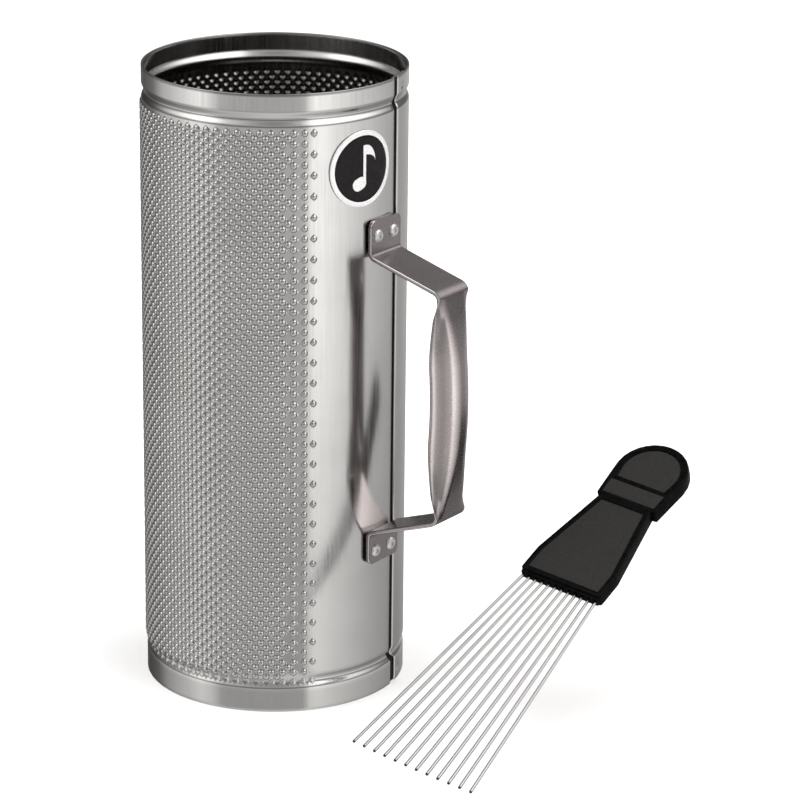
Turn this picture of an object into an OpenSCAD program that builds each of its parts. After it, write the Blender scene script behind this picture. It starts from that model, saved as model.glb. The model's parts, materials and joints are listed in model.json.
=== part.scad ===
// Metal guiro: an embossed sheet-steel tube with a strap handle, and the wire scraper that plays it.
// The origin is the centre of the tube's bottom rim, +Z runs up the tube and -Y is the playing side.

/* [Tube] */
// Outside diameter of the tube
tube_d = 127; // [120:1:140]
// Height of the tube
tube_h = 306; // [290:1:330]
// Thickness of the steel sheet
sheet_t = 1; // [0.8:0.1:1.2]
// Height of the lower bead's centre above the bottom rim
low_bead_z = 15.3; // [12:0.1:20]
// Drop of the upper bead's centre below the top rim
top_bead_drop = 12; // [10:0.5:20]
// Depth of each rolled-in bead
bead_depth = 1.3; // [0.8:0.1:1.6]
// Width of each rolled-in bead
bead_w = 7.6; // [6:0.1:9]

/* [Lap seam] */
// Direction of the seam's outer edge, turned from +X
seam_turn = -25.5; // [-26.5:0.5:-24.5]
// Open width of the joggle beside the seam's edge
seam_gap = 1.4; // [1:0.1:2]
// Width of sheet that lies under the seam
lap_w = 12; // [8:0.5:16]
// Diameter of a spot weld's dent
weld_d = 4.5; // [3:0.5:6]
// Distance of the spot welds from the seam's edge
weld_in = 5.5; // [4:0.5:7]
// Distance of the spot welds from the tube's rims
weld_end = 5.5; // [4:0.5:6.5]

/* [Handle] */
// Direction of the handle, turned from +X
handle_turn = -37.4; // [-38:0.1:-37]
// Width of the strap
strap_w = 23.4; // [22:0.1:25]
// Thickness of the strap
strap_t = 2; // [1.6:0.1:2.4]
// Height of the lower flange's end
flange_low_z = 70; // [66:0.5:74]
// Height of the lower bend, where the flange becomes an arm
arm_low_z = 86; // [84:0.5:88]
// Height of the grip's lower corner
grip_low_z = 99.6; // [96:0.1:104]
// Height of the grip's upper corner
grip_top_z = 212.8; // [208:0.1:216]
// Height of the upper bend
arm_top_z = 224; // [222:0.5:226]
// Height of the upper flange's end
flange_top_z = 241.3; // [238:0.1:246]
// Distance of the grip's corners from the tube's axis
grip_reach = 104.5; // [98:0.5:112]
// How far the grip bows out past its corners
grip_bow = 6.5; // [3:0.5:9]

/* [Rivets] */
// Distance between the two rivets of a flange
rivet_pitch = 12.2; // [11:0.1:13]
// Height of the lower rivets
rivet_low_z = 76.1; // [75.5:0.1:76.5]
// Height of the upper rivets
rivet_top_z = 233.5; // [233:0.1:234]
// Diameter of a rivet's shank
rivet_d = 3.2; // [3:0.1:3.4]
// Diameter of a rivet's head
rivet_head_d = 6.4; // [6:0.1:7]

/* [Badge] */
// Direction of the badge, turned from +X
badge_turn = -50.8; // [-54:0.1:-50]
// Height of the badge's centre
badge_z = 267.5; // [264:0.5:270]
// Diameter of the badge
badge_d = 36.4; // [32:0.1:38]
// Width of the badge's raised border
badge_border = 2.3; // [1.5:0.1:3]

/* [Scraper handle] */
// Width at the tine end
blade_w = 45.4; // [44:0.2:48]
// Length over which the tine end stays parallel
blade_straight = 14.7; // [12:0.1:17]
// Width at the neck
neck_w = 28.6; // [26:0.2:32]
// Distance of the neck from the tine end
neck_y = 57.5; // [54:0.5:60]
// Width of the thumb end at the neck
head_w = 33.8; // [32:0.2:35]
// Full width of the thumb end
head_full_w = 37.4; // [36:0.2:39]
// Length from the tine end to the far end
grip_len = 98.4; // [96:0.2:104]
// Thickness of the moulding
moulding_t = 7.6; // [7:0.2:9]
// Depth of the recessed panels
panel_deep = 0.6; // [0.3:0.1:0.9]

/* [Tines] */
// Number of tines that the handle is moulded for
tine_n = 12; // [12]
// Diameter of a tine
tine_d = 1.5; // [1.2:0.1:1.5]
// Length of a tine outside the handle
tine_len = 123.6; // [110:0.2:130]
// Width across the tines' roots
tine_root_w = 41.4; // [41:0.2:42]
// Angle of the outermost tines from the middle
tine_fan = 5.9; // [4:0.1:7]
// Distance from the mouth of a slot in to the point that its tine bends about
tine_pivot = 10; // [8:0.5:12]
// How far a tine springs to each side
tine_flex = 5; // [3:0.5:5]

/* [Place of the scraper] */
// Position of the middle of the tine end
scraper_pos = [135.4, -76.8, 70]; // [0:0.1:200]
// Turn of the scraper about the upright
scraper_heading = -41.4; // [-44:0.1:-38]
// Slope of the scraper, thumb end up
scraper_rise = 26.6; // [24:0.1:30]
// Roll of the scraper about its length
scraper_roll = 6.6; // [0:0.1:8]

/* [Hidden] */
$fn = 96;
tube_r = tube_d / 2;
tube_in_r = tube_r - sheet_t;
top_bead_z = tube_h - top_bead_drop;
touch = 0.02;        // gap that keeps two touching pieces apart
weld_bite = 0.1;     // how far the lapped layers share metal
past = 1;            // how far a cutter runs past what it cuts

// ---- helpers -------------------------------------------------------------------------------

function mix(a, b, k) = a + (b - a) * k;
function unit(v) = v / norm(v);
function turn2(v, a) = [v.x * cos(a) - v.y * sin(a), v.x * sin(a) + v.y * cos(a)];
function arc_angle(len, r) = len / r * 180 / PI;

// Points of a round corner of radius r at b, between the straights from a and to c
function fillet(a, b, c, r, n) =
    let (u = unit(a - b), v = unit(c - b))
    let (half = acos(u * v) / 2)
    let (centre = b + unit(u + v) * r / sin(half))
    let (from = b + u * r / tan(half) - centre, to = b + v * r / tan(half) - centre)
    let (sweep = (180 - 2 * half) * sign(cross(from, to)))
    [for (i = [0:n]) centre + turn2(from, sweep * i / n)];

// Turns its children so that +X points out of the tube at the given direction
module facing(turn, z = 0) {
    rotate([0, 0, turn]) translate([0, 0, z]) children();
}

// Closed skin over a list of equal rings of points. A ring runs out along one face of a strip and
// back along the other, so each end is closed by quads across the strip.
module skin(rings) {
    n = len(rings[0]);
    m = len(rings);
    last = (m - 1) * n;
    polyhedron(
        points = [for (ring = rings) each ring],
        faces = concat(
            [for (i = [0:n / 2 - 2]) [n - 1 - i, n - 2 - i, i + 1, i]],
            [for (i = [0:n / 2 - 2]) [last + i, last + i + 1, last + n - 2 - i, last + n - 1 - i]],
            [for (j = [0:m - 2], i = [0:n - 1])
                [j * n + i, j * n + (i + 1) % n, (j + 1) * n + (i + 1) % n]],
            [for (j = [0:m - 2], i = [0:n - 1])
                [j * n + i, (j + 1) * n + (i + 1) % n, (j + 1) * n + i]]),
        convexity = 10);
}

// ---- shell ---------------------------------------------------------------------------------

bead_steps = 8;

function bead_dip(z, centre) =
    abs(z - centre) < bead_w / 2 ? bead_depth * (1 + cos(360 * (z - centre) / bead_w)) / 2 : 0;

// Heights at which the wall's outline has a point
wall_zs = concat(
    [0],
    [for (i = [0:bead_steps]) low_bead_z + bead_w * (i / bead_steps - 0.5)],
    [for (i = [0:bead_steps]) top_bead_z + bead_w * (i / bead_steps - 0.5)],
    [tube_h]);

// Radius of a surface that follows the wall, shifted by the given amount
function wall_r(z, shift) = tube_r + shift - bead_dip(z, low_bead_z) - bead_dip(z, top_bead_z);

// Part of the wall, from one direction through an angle, with its outer face shifted
module wall(from, angle, shift = 0) {
    outline = concat(
        [for (z = wall_zs) [wall_r(z, shift), z]],
        [for (i = [len(wall_zs) - 1:-1:0]) [wall_r(wall_zs[i], shift - sheet_t), wall_zs[i]]]);
    rotate([0, 0, from]) rotate_extrude(angle = angle) polygon(outline);
}

// Shallow dent that a spot weld leaves in the outer layer
module weld_dent(z) {
    deep = 0.3;
    ball_r = (pow(weld_d / 2, 2) + pow(deep, 2)) / (2 * deep);
    facing(seam_turn + arc_angle(weld_in, tube_r), z)
        translate([tube_r + ball_r - deep, 0, 0]) sphere(r = ball_r);
}

module rivet_holes(z) {
    hole_d = rivet_d + 0.1;
    facing(handle_turn, z) {
        for (side = [-1, 1]) {
            translate([tube_r - 8, side * rivet_pitch / 2, 0]) rotate([0, 90, 0]) cylinder(d = hole_d, h = 16);
        }
    }
}

module shell() {
    gap_a = arc_angle(seam_gap, tube_r);
    lap_a = arc_angle(lap_w, tube_r);
    root_a = 1.2;
    color("silver") difference() {
        union() {
            wall(seam_turn, 360 - gap_a);
            wall(seam_turn - gap_a - root_a, root_a + gap_a + lap_a, weld_bite - sheet_t);
        }
        weld_dent(weld_end);
        weld_dent(tube_h - weld_end);
        rivet_holes(rivet_low_z);
        rivet_holes(rivet_top_z);
    }
}

// ---- handle --------------------------------------------------------------------------------

// The strap's middle surface runs in the plane of the handle: x out of the tube, y up it
strap_in = tube_r + touch + strap_t / 2;
strap_out = grip_reach - strap_t / 2;
end_round = 2.6;
bend_r = 3;
corner_r = 6;
end_steps = 3;
bend_steps = 3;
grip_steps = 12;
bow_end = 0.09;      // share of the grip that each corner takes

function bow_point(s) = [
    strap_out + grip_bow * (1 - pow(2 * s - 1, 2)),
    mix(grip_low_z, grip_top_z, s)];

function end_drop(i) = end_round * (1 - cos(90 * i / end_steps));

low_end = [strap_in, flange_low_z];
low_bend = [strap_in, arm_low_z];
low_corner = [strap_out, grip_low_z];
top_corner = [strap_out, grip_top_z];
top_bend = [strap_in, arm_top_z];
top_end = [strap_in, flange_top_z];

strap_path = concat(
    [for (i = [0:end_steps]) low_end + [0, end_drop(i)]],
    fillet(low_end, low_bend, low_corner, bend_r, bend_steps),
    fillet(low_bend, low_corner, bow_point(bow_end), corner_r, bend_steps + 1),
    [for (i = [0:grip_steps]) bow_point(mix(bow_end + 0.03, 0.97 - bow_end, i / grip_steps))],
    fillet(bow_point(1 - bow_end), top_corner, top_bend, corner_r, bend_steps + 1),
    fillet(top_corner, top_bend, top_end, bend_r, bend_steps),
    [for (i = [end_steps:-1:0]) top_end - [0, end_drop(i)]]);

// How far the strap's sides are folded at a height on the grip: 0 flat, 1 fully folded
function fold(p) =
    let (s = (p.y - grip_low_z) / (grip_top_z - grip_low_z))
    p.x < strap_out || s <= 0 || s >= 1 ? 0 : pow(sin(180 * s), 0.85);

// Share of the full width left near a rounded end
function end_share(p) =
    let (d = min(p.y - flange_low_z, flange_top_z - p.y))
    d >= end_round ? 1 : 1 - (end_round - sqrt(pow(end_round, 2) - pow(end_round - d, 2))) * 2 / strap_w;

// Half of the strap's section is walked as straights and bends: flat face, crease, flank, lip
crease_turn = 78;
lip_turn = 150;
bend_n = 3;
function step_turns(f) = concat(
    [0],
    [for (i = [0:bend_n - 1]) f * crease_turn * (i + 0.5) / bend_n],
    [f * crease_turn],
    [for (i = [0:bend_n - 1]) f * (crease_turn + lip_turn * (i + 0.5) / bend_n)]);
function step_lengths(f, share) = share * concat(
    [mix(strap_w / 2 - 5.7, 4.5, f)],
    [for (i = [1:bend_n]) mix(2, 4.8, f) / bend_n],
    [mix(1.7, 5.5, f)],
    [for (i = [1:bend_n]) mix(2, 6.3, f) / bend_n]);
function walk(turns, lengths) =
    [for (i = 0, p = [0, 0]; i <= len(turns);
          p = i < len(turns) ? p + lengths[i] * [cos(turns[i]), -sin(turns[i])] : p, i = i + 1) p];

// Points of half the section, on one face of the strap: face is 1 outside and -1 inside
function half_section(f, share, face) =
    let (turns = step_turns(f), n = len(turns), p = walk(turns, step_lengths(f, share)))
    [for (i = [0:n])
        let (a = i == 0 ? 0 : i == n ? turns[n - 1] : (turns[i - 1] + turns[i]) / 2)
        p[i] + face * strap_t / 2 * [sin(a), cos(a)]];

// Ring of points round the strap at one station of its path
function strap_ring(i) =
    let (a = strap_path[max(i - 1, 0)], b = strap_path[min(i + 1, len(strap_path) - 1)])
    let (along = unit(b - a), out = [along.y, -along.x], p = strap_path[i])
    let (f = fold(p), share = end_share(p))
    let (outer = half_section(f, share, 1), inner = half_section(f, share, -1), n = len(outer) - 1)
    let (flat = concat(
        [for (k = [n:-1:1]) [-outer[k].x, outer[k].y]], outer,
        [for (k = [n:-1:0]) inner[k]], [for (k = [1:n]) [-inner[k].x, inner[k].y]]))
    [for (q = flat) [p.x + out.x * q.y, q.x, p.y + out.y * q.y]];

module handle() {
    color("dimgray") difference() {
        facing(handle_turn) skin([for (i = [0:len(strap_path) - 1]) strap_ring(i)]);
        rivet_holes(rivet_low_z);
        rivet_holes(rivet_top_z);
    }
}

// ---- rivets --------------------------------------------------------------------------------

rivet_bore_r = 0.95;
mandrel_r = 0.9;
rivet_seat = tube_r + touch + strap_t + touch;
rivet_tail = tube_in_r - 1.1;
rivet_tip = tube_in_r - 5.5;

// Half outlines turned about the rivet's axis: x is the radius and y runs out of the tube
rivet_head_h = 1.2;
module rivet_outline() {
    head_r = rivet_head_d / 2;
    polygon(concat(
        [[rivet_bore_r, rivet_tip], [rivet_d / 2 + 0.5, rivet_tip], [rivet_d / 2 + 0.9, rivet_tip + 1.6],
         [rivet_d / 2 + 0.6, rivet_tail - 0.4], [rivet_d / 2, rivet_tail],
         [rivet_d / 2, rivet_seat], [head_r, rivet_seat]],
        [for (i = [0:6]) [head_r - 0.15 - (head_r - rivet_bore_r - 0.25) * (1 - cos(15 * i)),
                          rivet_seat + 0.25 + (rivet_head_h - 0.25) * sin(15 * i)]],
        [[rivet_bore_r, rivet_seat + rivet_head_h - 0.2]]));
}

module rivet_pair(z) {
    facing(handle_turn, z) {
        for (side = [-1, 1]) {
            translate([0, side * rivet_pitch / 2, 0]) rotate([0, 90, 0]) rotate_extrude() rivet_outline();
        }
    }
}

module mandrel_pair(z) {
    facing(handle_turn, z) {
        for (side = [-1, 1]) {
            translate([0, side * rivet_pitch / 2, 0]) rotate([0, 90, 0]) {
                translate([0, 0, rivet_tip - 0.5]) cylinder(r = mandrel_r, h = rivet_seat + 0.5 - rivet_tip + 0.5);
                translate([0, 0, rivet_tip - 1.6]) cylinder(r = 1.7, h = 1.6 - touch);
            }
        }
    }
}

module upper_rivets() { color("gainsboro") rivet_pair(rivet_top_z); }
module lower_rivets() { color("gainsboro") rivet_pair(rivet_low_z); }
module upper_mandrels() { color("gray") mandrel_pair(rivet_top_z); }
module lower_mandrels() { color("gray") mandrel_pair(rivet_low_z); }

// ---- badge ---------------------------------------------------------------------------------

tape_t = 0.3;
plate_t = 0.9;
enamel_t = 0.35;
plate_in = tube_r + tape_t + 2 * touch;
plate_out = plate_in + plate_t;
enamel_out = plate_out - 0.1;

// Round patch of a curved sheet that lies on the tube
module patch(r_in, r_out, d) {
    intersection() {
        translate([0, 0, -badge_d]) difference() {
            cylinder(r = r_out, h = 2 * badge_d);
            translate([0, 0, -past]) cylinder(r = r_in, h = 2 * badge_d + 2 * past);
        }
        rotate([0, 90, 0]) cylinder(d = d, h = 2 * tube_r);
    }
}

// Quaver, with x across the badge and y up it, grown all round by the given amount
module quaver(grow) {
    head_r = 3 + grow;
    stem_w = 1.6 + 2 * grow;
    translate([-2.2, -7]) rotate(20) {
        translate([-1, 0]) circle(r = head_r);
        translate([1, 0]) circle(r = head_r);
        translate([-1, -head_r]) square([2, 2 * head_r]);
    }
    translate([1.6 - stem_w / 2, -6.2]) square([stem_w, 17.4 + grow]);
    polygon(concat(
        [for (a = [0:10:80]) [1.6, 11.2 + grow] + [(6 + grow) * sin(a), (8.5 + grow) * (cos(a) - 1)]],
        [for (a = [80:-10:0]) [1.6, 6.6 - grow] + [(6 + grow) * sin(a), (3.9 - grow) * (cos(a) - 1)]]));
}

module quaver_bar(grow) {
    translate([tube_r / 2, 0, 0]) rotate([90, 0, 90]) linear_extrude(tube_r) quaver(grow);
}

module badge_tape() {
    color("dimgray") facing(badge_turn, badge_z) patch(tube_r + touch, tube_r + touch + tape_t, badge_d - 2);
}

module badge_plate() {
    color("white") facing(badge_turn, badge_z) difference() {
        patch(plate_in, plate_out, badge_d);
        difference() {
            patch(plate_out - 0.1 - enamel_t - touch, plate_out + past, badge_d - 2 * badge_border);
            quaver_bar(0);
        }
    }
}

module badge_enamel() {
    color("black") facing(badge_turn, badge_z) difference() {
        patch(enamel_out - enamel_t, enamel_out, badge_d - 2 * badge_border - 2 * touch);
        quaver_bar(touch);
    }
}

// ---- scraper -------------------------------------------------------------------------------

// The scraper is drawn flat: x across it, y from the tine end to the thumb end, z out of its face
comb_out = 1.4;
comb_t = 4.4;
slot_w = tine_d + 0.2;
slot_clear = 0.07;

module on_scraper() {
    translate(scraper_pos)
        rotate([0, 0, scraper_heading]) rotate([scraper_rise, 0, 0]) rotate([0, scraper_roll, 0]) children();
}

function mirror_outline(right) =
    concat(right, [for (i = [len(right) - 1:-1:0]) [-right[i].x, right[i].y]]);

// Outlines are given as their right-hand half, from the tine end up, drawn in from the edge by inset
module blade_outline(inset = 0) {
    polygon(mirror_outline([
        [blade_w / 2 - inset, inset],
        [blade_w / 2 - inset, blade_straight],
        [neck_w / 2 - inset, neck_y - inset],
        [neck_w / 2 - inset, neck_y + (inset > 0 ? -inset : past)]]));
}

module head_outline(inset = 0, base = 0) {
    r = head_full_w / 2;
    centre_y = grip_len - r;
    polygon(mirror_outline(concat(
        [[head_w / 2 - inset, base > 0 ? base : neck_y + inset]],
        [for (a = [0:6:90]) [(r - inset) * cos(a), centre_y + (r - inset) * sin(a)]])));
}

// Place of tine i, counted from 0: the point it bends about, and its angle from the middle
function tine_share(i) = 2 * i / (tine_n - 1) - 1;
function tine_angle(i) = tine_fan * tine_share(i);
function tine_mouth(i) = [tine_root_w / 2 * tine_share(i), -comb_out];

// Puts the children at a tine's bending point, with +X along the tine towards its tip
module at_tine(i) {
    translate([tine_mouth(i).x, tine_mouth(i).y, 0])
        rotate([0, 0, tine_angle(i) - 90]) translate([-tine_pivot, 0, 0]) children();
}

// Slot that opens towards its mouth, so that the tine can spring to both sides
module tine_slot(i) {
    low = tine_d / 2 + slot_clear;
    run = tine_pivot + 3;
    high = low + run * tan(tine_flex) * 1.05;
    at_tine(i) rotate([90, 0, 0]) translate([0, 0, -slot_w / 2]) linear_extrude(slot_w) {
        circle(r = low);
        polygon([[0, -low], [run, -high], [run, high], [0, low]]);
    }
}

module scraper_handle() {
    rim = 2.4;
    band_low = neck_y + rim;
    band_top = neck_y + 12.4;
    color("black") on_scraper() difference() {
        union() {
            translate([0, 0, -moulding_t / 2]) linear_extrude(moulding_t) {
                blade_outline();
                head_outline();
            }
            translate([-blade_w / 2 + 0.8, -comb_out, -comb_t / 2]) cube([blade_w - 1.6, comb_out + past, comb_t]);
        }
        for (face = [0, 1]) {
            mirror([0, 0, face]) translate([0, 0, moulding_t / 2 - panel_deep]) linear_extrude(past) {
                blade_outline(rim);
                translate([-head_w / 2 + rim, band_low]) square([head_w - 2 * rim, band_top - band_low]);
                head_outline(3.4, band_top + rim);
            }
        }
        for (i = [0:tine_n - 1]) {
            tine_slot(i);
        }
    }
}

module tine(number) {
    r = tine_d / 2;
    color("gainsboro") on_scraper() at_tine(number - 1) {
        sphere(r = r);
        rotate([0, 90, 0]) cylinder(r = r, h = tine_pivot + tine_len - r);
        translate([tine_pivot + tine_len - r, 0, 0]) sphere(r = r);
    }
}

// ---- nodes ---------------------------------------------------------------------------------

shell();
handle();
upper_rivets();
lower_rivets();
upper_mandrels();
lower_mandrels();
badge_tape();
badge_plate();
badge_enamel();
scraper_handle();
tine(1);  // tine_01
tine(2);  // tine_02
tine(3);  // tine_03
tine(4);  // tine_04
tine(5);  // tine_05
tine(6);  // tine_06
tine(7);  // tine_07
tine(8);  // tine_08
tine(9);  // tine_09
tine(10);  // tine_10
tine(11);  // tine_11
tine(12);  // tine_12
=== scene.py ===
import json
import math

import bmesh
import bpy
import numpy as np
from mathutils import Matrix, Vector


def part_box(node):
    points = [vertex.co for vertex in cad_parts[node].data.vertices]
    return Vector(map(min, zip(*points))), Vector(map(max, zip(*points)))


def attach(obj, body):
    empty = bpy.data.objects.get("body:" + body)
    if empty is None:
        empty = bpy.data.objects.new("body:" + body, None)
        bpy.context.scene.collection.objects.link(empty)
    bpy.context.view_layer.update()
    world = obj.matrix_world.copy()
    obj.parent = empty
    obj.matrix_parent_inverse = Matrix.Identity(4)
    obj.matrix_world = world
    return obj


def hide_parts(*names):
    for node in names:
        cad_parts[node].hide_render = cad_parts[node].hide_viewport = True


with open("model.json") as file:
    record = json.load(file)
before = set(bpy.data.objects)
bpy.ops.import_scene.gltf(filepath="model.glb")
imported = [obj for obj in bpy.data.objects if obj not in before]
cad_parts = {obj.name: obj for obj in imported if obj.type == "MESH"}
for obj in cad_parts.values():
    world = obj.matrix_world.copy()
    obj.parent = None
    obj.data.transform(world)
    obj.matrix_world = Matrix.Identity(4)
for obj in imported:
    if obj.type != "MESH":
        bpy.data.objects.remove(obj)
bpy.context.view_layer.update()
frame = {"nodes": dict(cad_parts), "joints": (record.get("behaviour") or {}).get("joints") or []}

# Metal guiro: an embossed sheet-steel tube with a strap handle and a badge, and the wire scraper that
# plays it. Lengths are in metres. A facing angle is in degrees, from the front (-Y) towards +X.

MM = 0.001


# ---- the frame's measures --------------------------------------------------------------------

def node_points(node):
    """Every vertex of a CAD node, one row each."""
    return np.array([v.co for v in frame["nodes"][node].data.vertices])


def facing_of(node):
    """Facing angle of the middle of a CAD node."""
    x, y, _ = node_points(node).mean(axis=0)
    return math.degrees(math.atan2(x, -y))


shell_low, shell_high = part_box("shell")
TUBE_R = (shell_high.x - shell_low.x) / 2
TUBE_H = shell_high.z
SHEET_T = 1.0 * MM
SEAM_DEG = 64.5
HANDLE_DEG = facing_of("lower_rivets")


# ---- mesh helpers ----------------------------------------------------------------------------

def around(angle, radius, z):
    """Points at facing angles, radii and heights."""
    a = np.radians(angle)
    return np.stack([radius * np.sin(a), -radius * np.cos(a), z + 0 * a], axis=-1)


def smooth_step(x, low, high):
    k = np.clip((x - low) / (high - low), 0, 1)
    return k * k * (3 - 2 * k)


def new_mesh(name, points, face_sets, material_of_set=None):
    """A mesh from points and from sets of equal-sided faces; each set can have its own material number."""
    mesh = bpy.data.meshes.new(name)
    mesh.vertices.add(len(points))
    mesh.vertices.foreach_set("co", np.asarray(points, np.float32).ravel())
    sizes = np.concatenate([np.full(len(f), f.shape[1]) for f in face_sets])
    corners = np.concatenate([f.ravel() for f in face_sets]).astype(np.int32)
    mesh.loops.add(len(corners))
    mesh.loops.foreach_set("vertex_index", corners)
    mesh.polygons.add(len(sizes))
    mesh.polygons.foreach_set("loop_start", np.concatenate([[0], np.cumsum(sizes)[:-1]]).astype(np.int32))
    if material_of_set is not None:
        numbers = np.concatenate([np.full(len(f), m) for f, m in zip(face_sets, material_of_set)])
        mesh.polygons.foreach_set("material_index", numbers.astype(np.int32))
    mesh.update(calc_edges=True)
    mesh.validate()
    mesh.polygons.foreach_set("use_smooth", np.ones(len(sizes), bool))
    return mesh


def keep_share(mesh, name, values):
    """Keeps a 0 to 1 value with each point, for a material to read."""
    mesh.attributes.new(name, "FLOAT", "POINT").data.foreach_set("value", values.astype(np.float32))


def add_piece(name, mesh, body, node, materials, sharp_deg=40):
    """Puts a mesh in the scene as the piece that stands for a CAD node."""
    piece = bpy.data.objects.new(name, mesh)
    bpy.context.scene.collection.objects.link(piece)
    for material in materials:
        mesh.materials.append(material)
    mesh.set_sharp_from_angle(angle=math.radians(sharp_deg))
    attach(piece, body)
    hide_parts(node)
    return piece


def loft(rings, closed_ends=True):
    """Points, quads and end faces of a skin over equal rings; rings is stations x points x 3."""
    stations, n = rings.shape[:2]
    ids = np.arange(stations * n).reshape(stations, n)
    right = np.roll(ids, -1, axis=1)
    quads = np.stack([ids[:-1], right[:-1], right[1:], ids[1:]], axis=-1).reshape(-1, 4)
    ends = [ids[0][::-1][None, :], ids[-1][None, :]] if closed_ends else []
    return rings.reshape(-1, 3), [quads] + ends


def lathe(profile, segments):
    """Rings of an outline of (radius, height) turned about +Z."""
    turn = np.linspace(0, 2 * np.pi, segments, endpoint=False)
    return np.array([[[r * math.cos(a), r * math.sin(a), h] for a in turn] for r, h in profile])


def moved(points, matrix):
    m = np.array(matrix)
    return points @ m[:3, :3].T + m[:3, 3]


def joined(parts):
    """Points and faces of several (points, face sets) parts, as one."""
    points, faces, start = [], [], 0
    for part_points, part_faces in parts:
        points.append(part_points)
        faces += [f + start for f in part_faces]
        start += len(part_points)
    return np.concatenate(points), faces


def arc_corner(a, b, c, radius, steps):
    """Points of a round corner at b between the straights from a and to c, in the plane."""
    a, b, c = (np.asarray(p, float) for p in (a, b, c))
    u = (a - b) / np.linalg.norm(a - b)
    v = (c - b) / np.linalg.norm(c - b)
    half = math.acos(np.clip(u @ v, -1, 1)) / 2
    centre = b + (u + v) / np.linalg.norm(u + v) * radius / math.sin(half)
    start = b + u * radius / math.tan(half) - centre
    end = b + v * radius / math.tan(half) - centre
    sweep = (math.pi - 2 * half) * np.sign(start[0] * end[1] - start[1] * end[0])
    turns = sweep * np.linspace(0, 1, steps + 1)
    return [centre + (start[0] * math.cos(t) - start[1] * math.sin(t),
                      start[0] * math.sin(t) + start[1] * math.cos(t)) for t in turns]


def boolean(base, cutters, operation):
    """The mesh of base after an exact boolean with each cutter object; all the objects are removed."""
    for cutter in cutters:
        modifier = base.modifiers.new("cut", "BOOLEAN")
        modifier.operation = operation
        modifier.solver = "EXACT"
        modifier.object = cutter
    bpy.context.view_layer.update()
    graph = bpy.context.evaluated_depsgraph_get()
    mesh = bpy.data.meshes.new_from_object(base.evaluated_get(graph))
    for extra in [base] + cutters:
        bpy.data.objects.remove(extra)
    return mesh


def loose(name, points, faces, numbers=None):
    """A working object for a boolean."""
    obj = bpy.data.objects.new(name, new_mesh(name, points, faces, numbers))
    bpy.context.scene.collection.objects.link(obj)
    return obj


# ---- materials -------------------------------------------------------------------------------

class Nodes:
    """A material's node tree, with short calls for the nodes used here."""

    def __init__(self, name):
        self.material = bpy.data.materials.new(name)
        self.material.use_nodes = True
        self.tree = self.material.node_tree
        self.shader = self.tree.nodes["Principled BSDF"]

    def add(self, kind, **settings):
        node = self.tree.nodes.new(kind)
        for key, value in settings.items():
            if key in node.inputs:
                node.inputs[key].default_value = value
            else:
                setattr(node, key, value)
        return node

    def link(self, source, target, socket=None):
        self.tree.links.new(source, target if socket is None else target.inputs[socket])

    def place(self, stretch=(1, 1, 1)):
        """Object coordinates, scaled along each axis."""
        coords = self.add("ShaderNodeTexCoord")
        mapping = self.add("ShaderNodeMapping")
        mapping.inputs["Scale"].default_value = stretch
        self.link(coords.outputs["Object"], mapping, "Vector")
        return mapping.outputs["Vector"]

    def noise(self, scale, detail=4.0, stretch=(1, 1, 1), rough=0.55):
        node = self.add("ShaderNodeTexNoise", Scale=scale, Detail=detail, Roughness=rough)
        self.link(self.place(stretch), node, "Vector")
        return node.outputs["Fac"]

    def between(self, value, low, high, start=0.0, end=1.0):
        """value mapped from start..end to low..high."""
        node = self.add("ShaderNodeMapRange")
        node.inputs["From Min"].default_value = start
        node.inputs["From Max"].default_value = end
        node.inputs["To Min"].default_value = low
        node.inputs["To Max"].default_value = high
        self.link(value, node, "Value")
        return node.outputs["Result"]

    def mix(self, share, a, b):
        """Colour between a and b; each is a colour or a socket."""
        node = self.add("ShaderNodeMix", data_type="RGBA")
        self.link(share, node.inputs["Factor"])
        for name, value in (("A", a), ("B", b)):
            socket = [s for s in node.inputs if s.name == name and s.type == "RGBA"][0]
            if isinstance(value, tuple):
                socket.default_value = (*value, 1)
            else:
                self.link(value, socket)
        return [s for s in node.outputs if s.type == "RGBA"][0]

    def times(self, a, b):
        node = self.add("ShaderNodeMath", operation="MULTIPLY")
        self.link(a, node.inputs[0])
        self.link(b, node.inputs[1])
        return node.outputs[0]

    def share_of(self, name):
        """A 0 to 1 value that is kept with the mesh's points."""
        return self.add("ShaderNodeAttribute", attribute_name=name).outputs["Fac"]

    def bump(self, height, distance, strength=1.0, below=None):
        node = self.add("ShaderNodeBump", Strength=strength, Distance=distance)
        self.link(height, node, "Height")
        if below is not None:
            self.link(below, node, "Normal")
        return node.outputs["Normal"]

    def set(self, **values):
        """Shader inputs, by name with _ for a space; each is a number, a colour or a socket."""
        for key, value in values.items():
            socket = self.shader.inputs[key.replace("_", " ")]
            if isinstance(value, (int, float)):
                socket.default_value = value
            elif isinstance(value, tuple):
                socket.default_value = (*value, 1)
            else:
                self.link(value, socket)
        return self.material


def brushed_steel():
    """Stainless sheet, brushed up the tube, with faint cloudy stains and painted shade at the feet of its bumps."""
    n = Nodes("brushed_steel")
    lines = n.noise(900, 3, (1, 1, 0.03))
    clouds = n.noise(28, 5)
    stains = n.noise(9, 3, (1, 1, 0.5))
    colour = n.mix(n.between(clouds, 0, 1, 0.3, 0.7), (0.56, 0.552, 0.545), (0.63, 0.624, 0.618))
    colour = n.mix(n.between(stains, 0, 0.5, 0.5, 0.75), colour, (0.5, 0.487, 0.475))
    # painted shade: the steel darkens round the feet of the bumps, where they shade each other
    colour = n.mix(n.between(n.share_of("foot_shade"), 0, 0.85), colour, (0.14, 0.128, 0.122))
    rough = n.between(lines, 0.13, 0.22, 0.3, 0.7)
    normal = n.bump(lines, 0.00002, 0.5, n.bump(n.noise(14, 2), 0.0009, 0.35))
    return n.set(Base_Color=colour, Metallic=1.0, Roughness=rough, Normal=normal)


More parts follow.
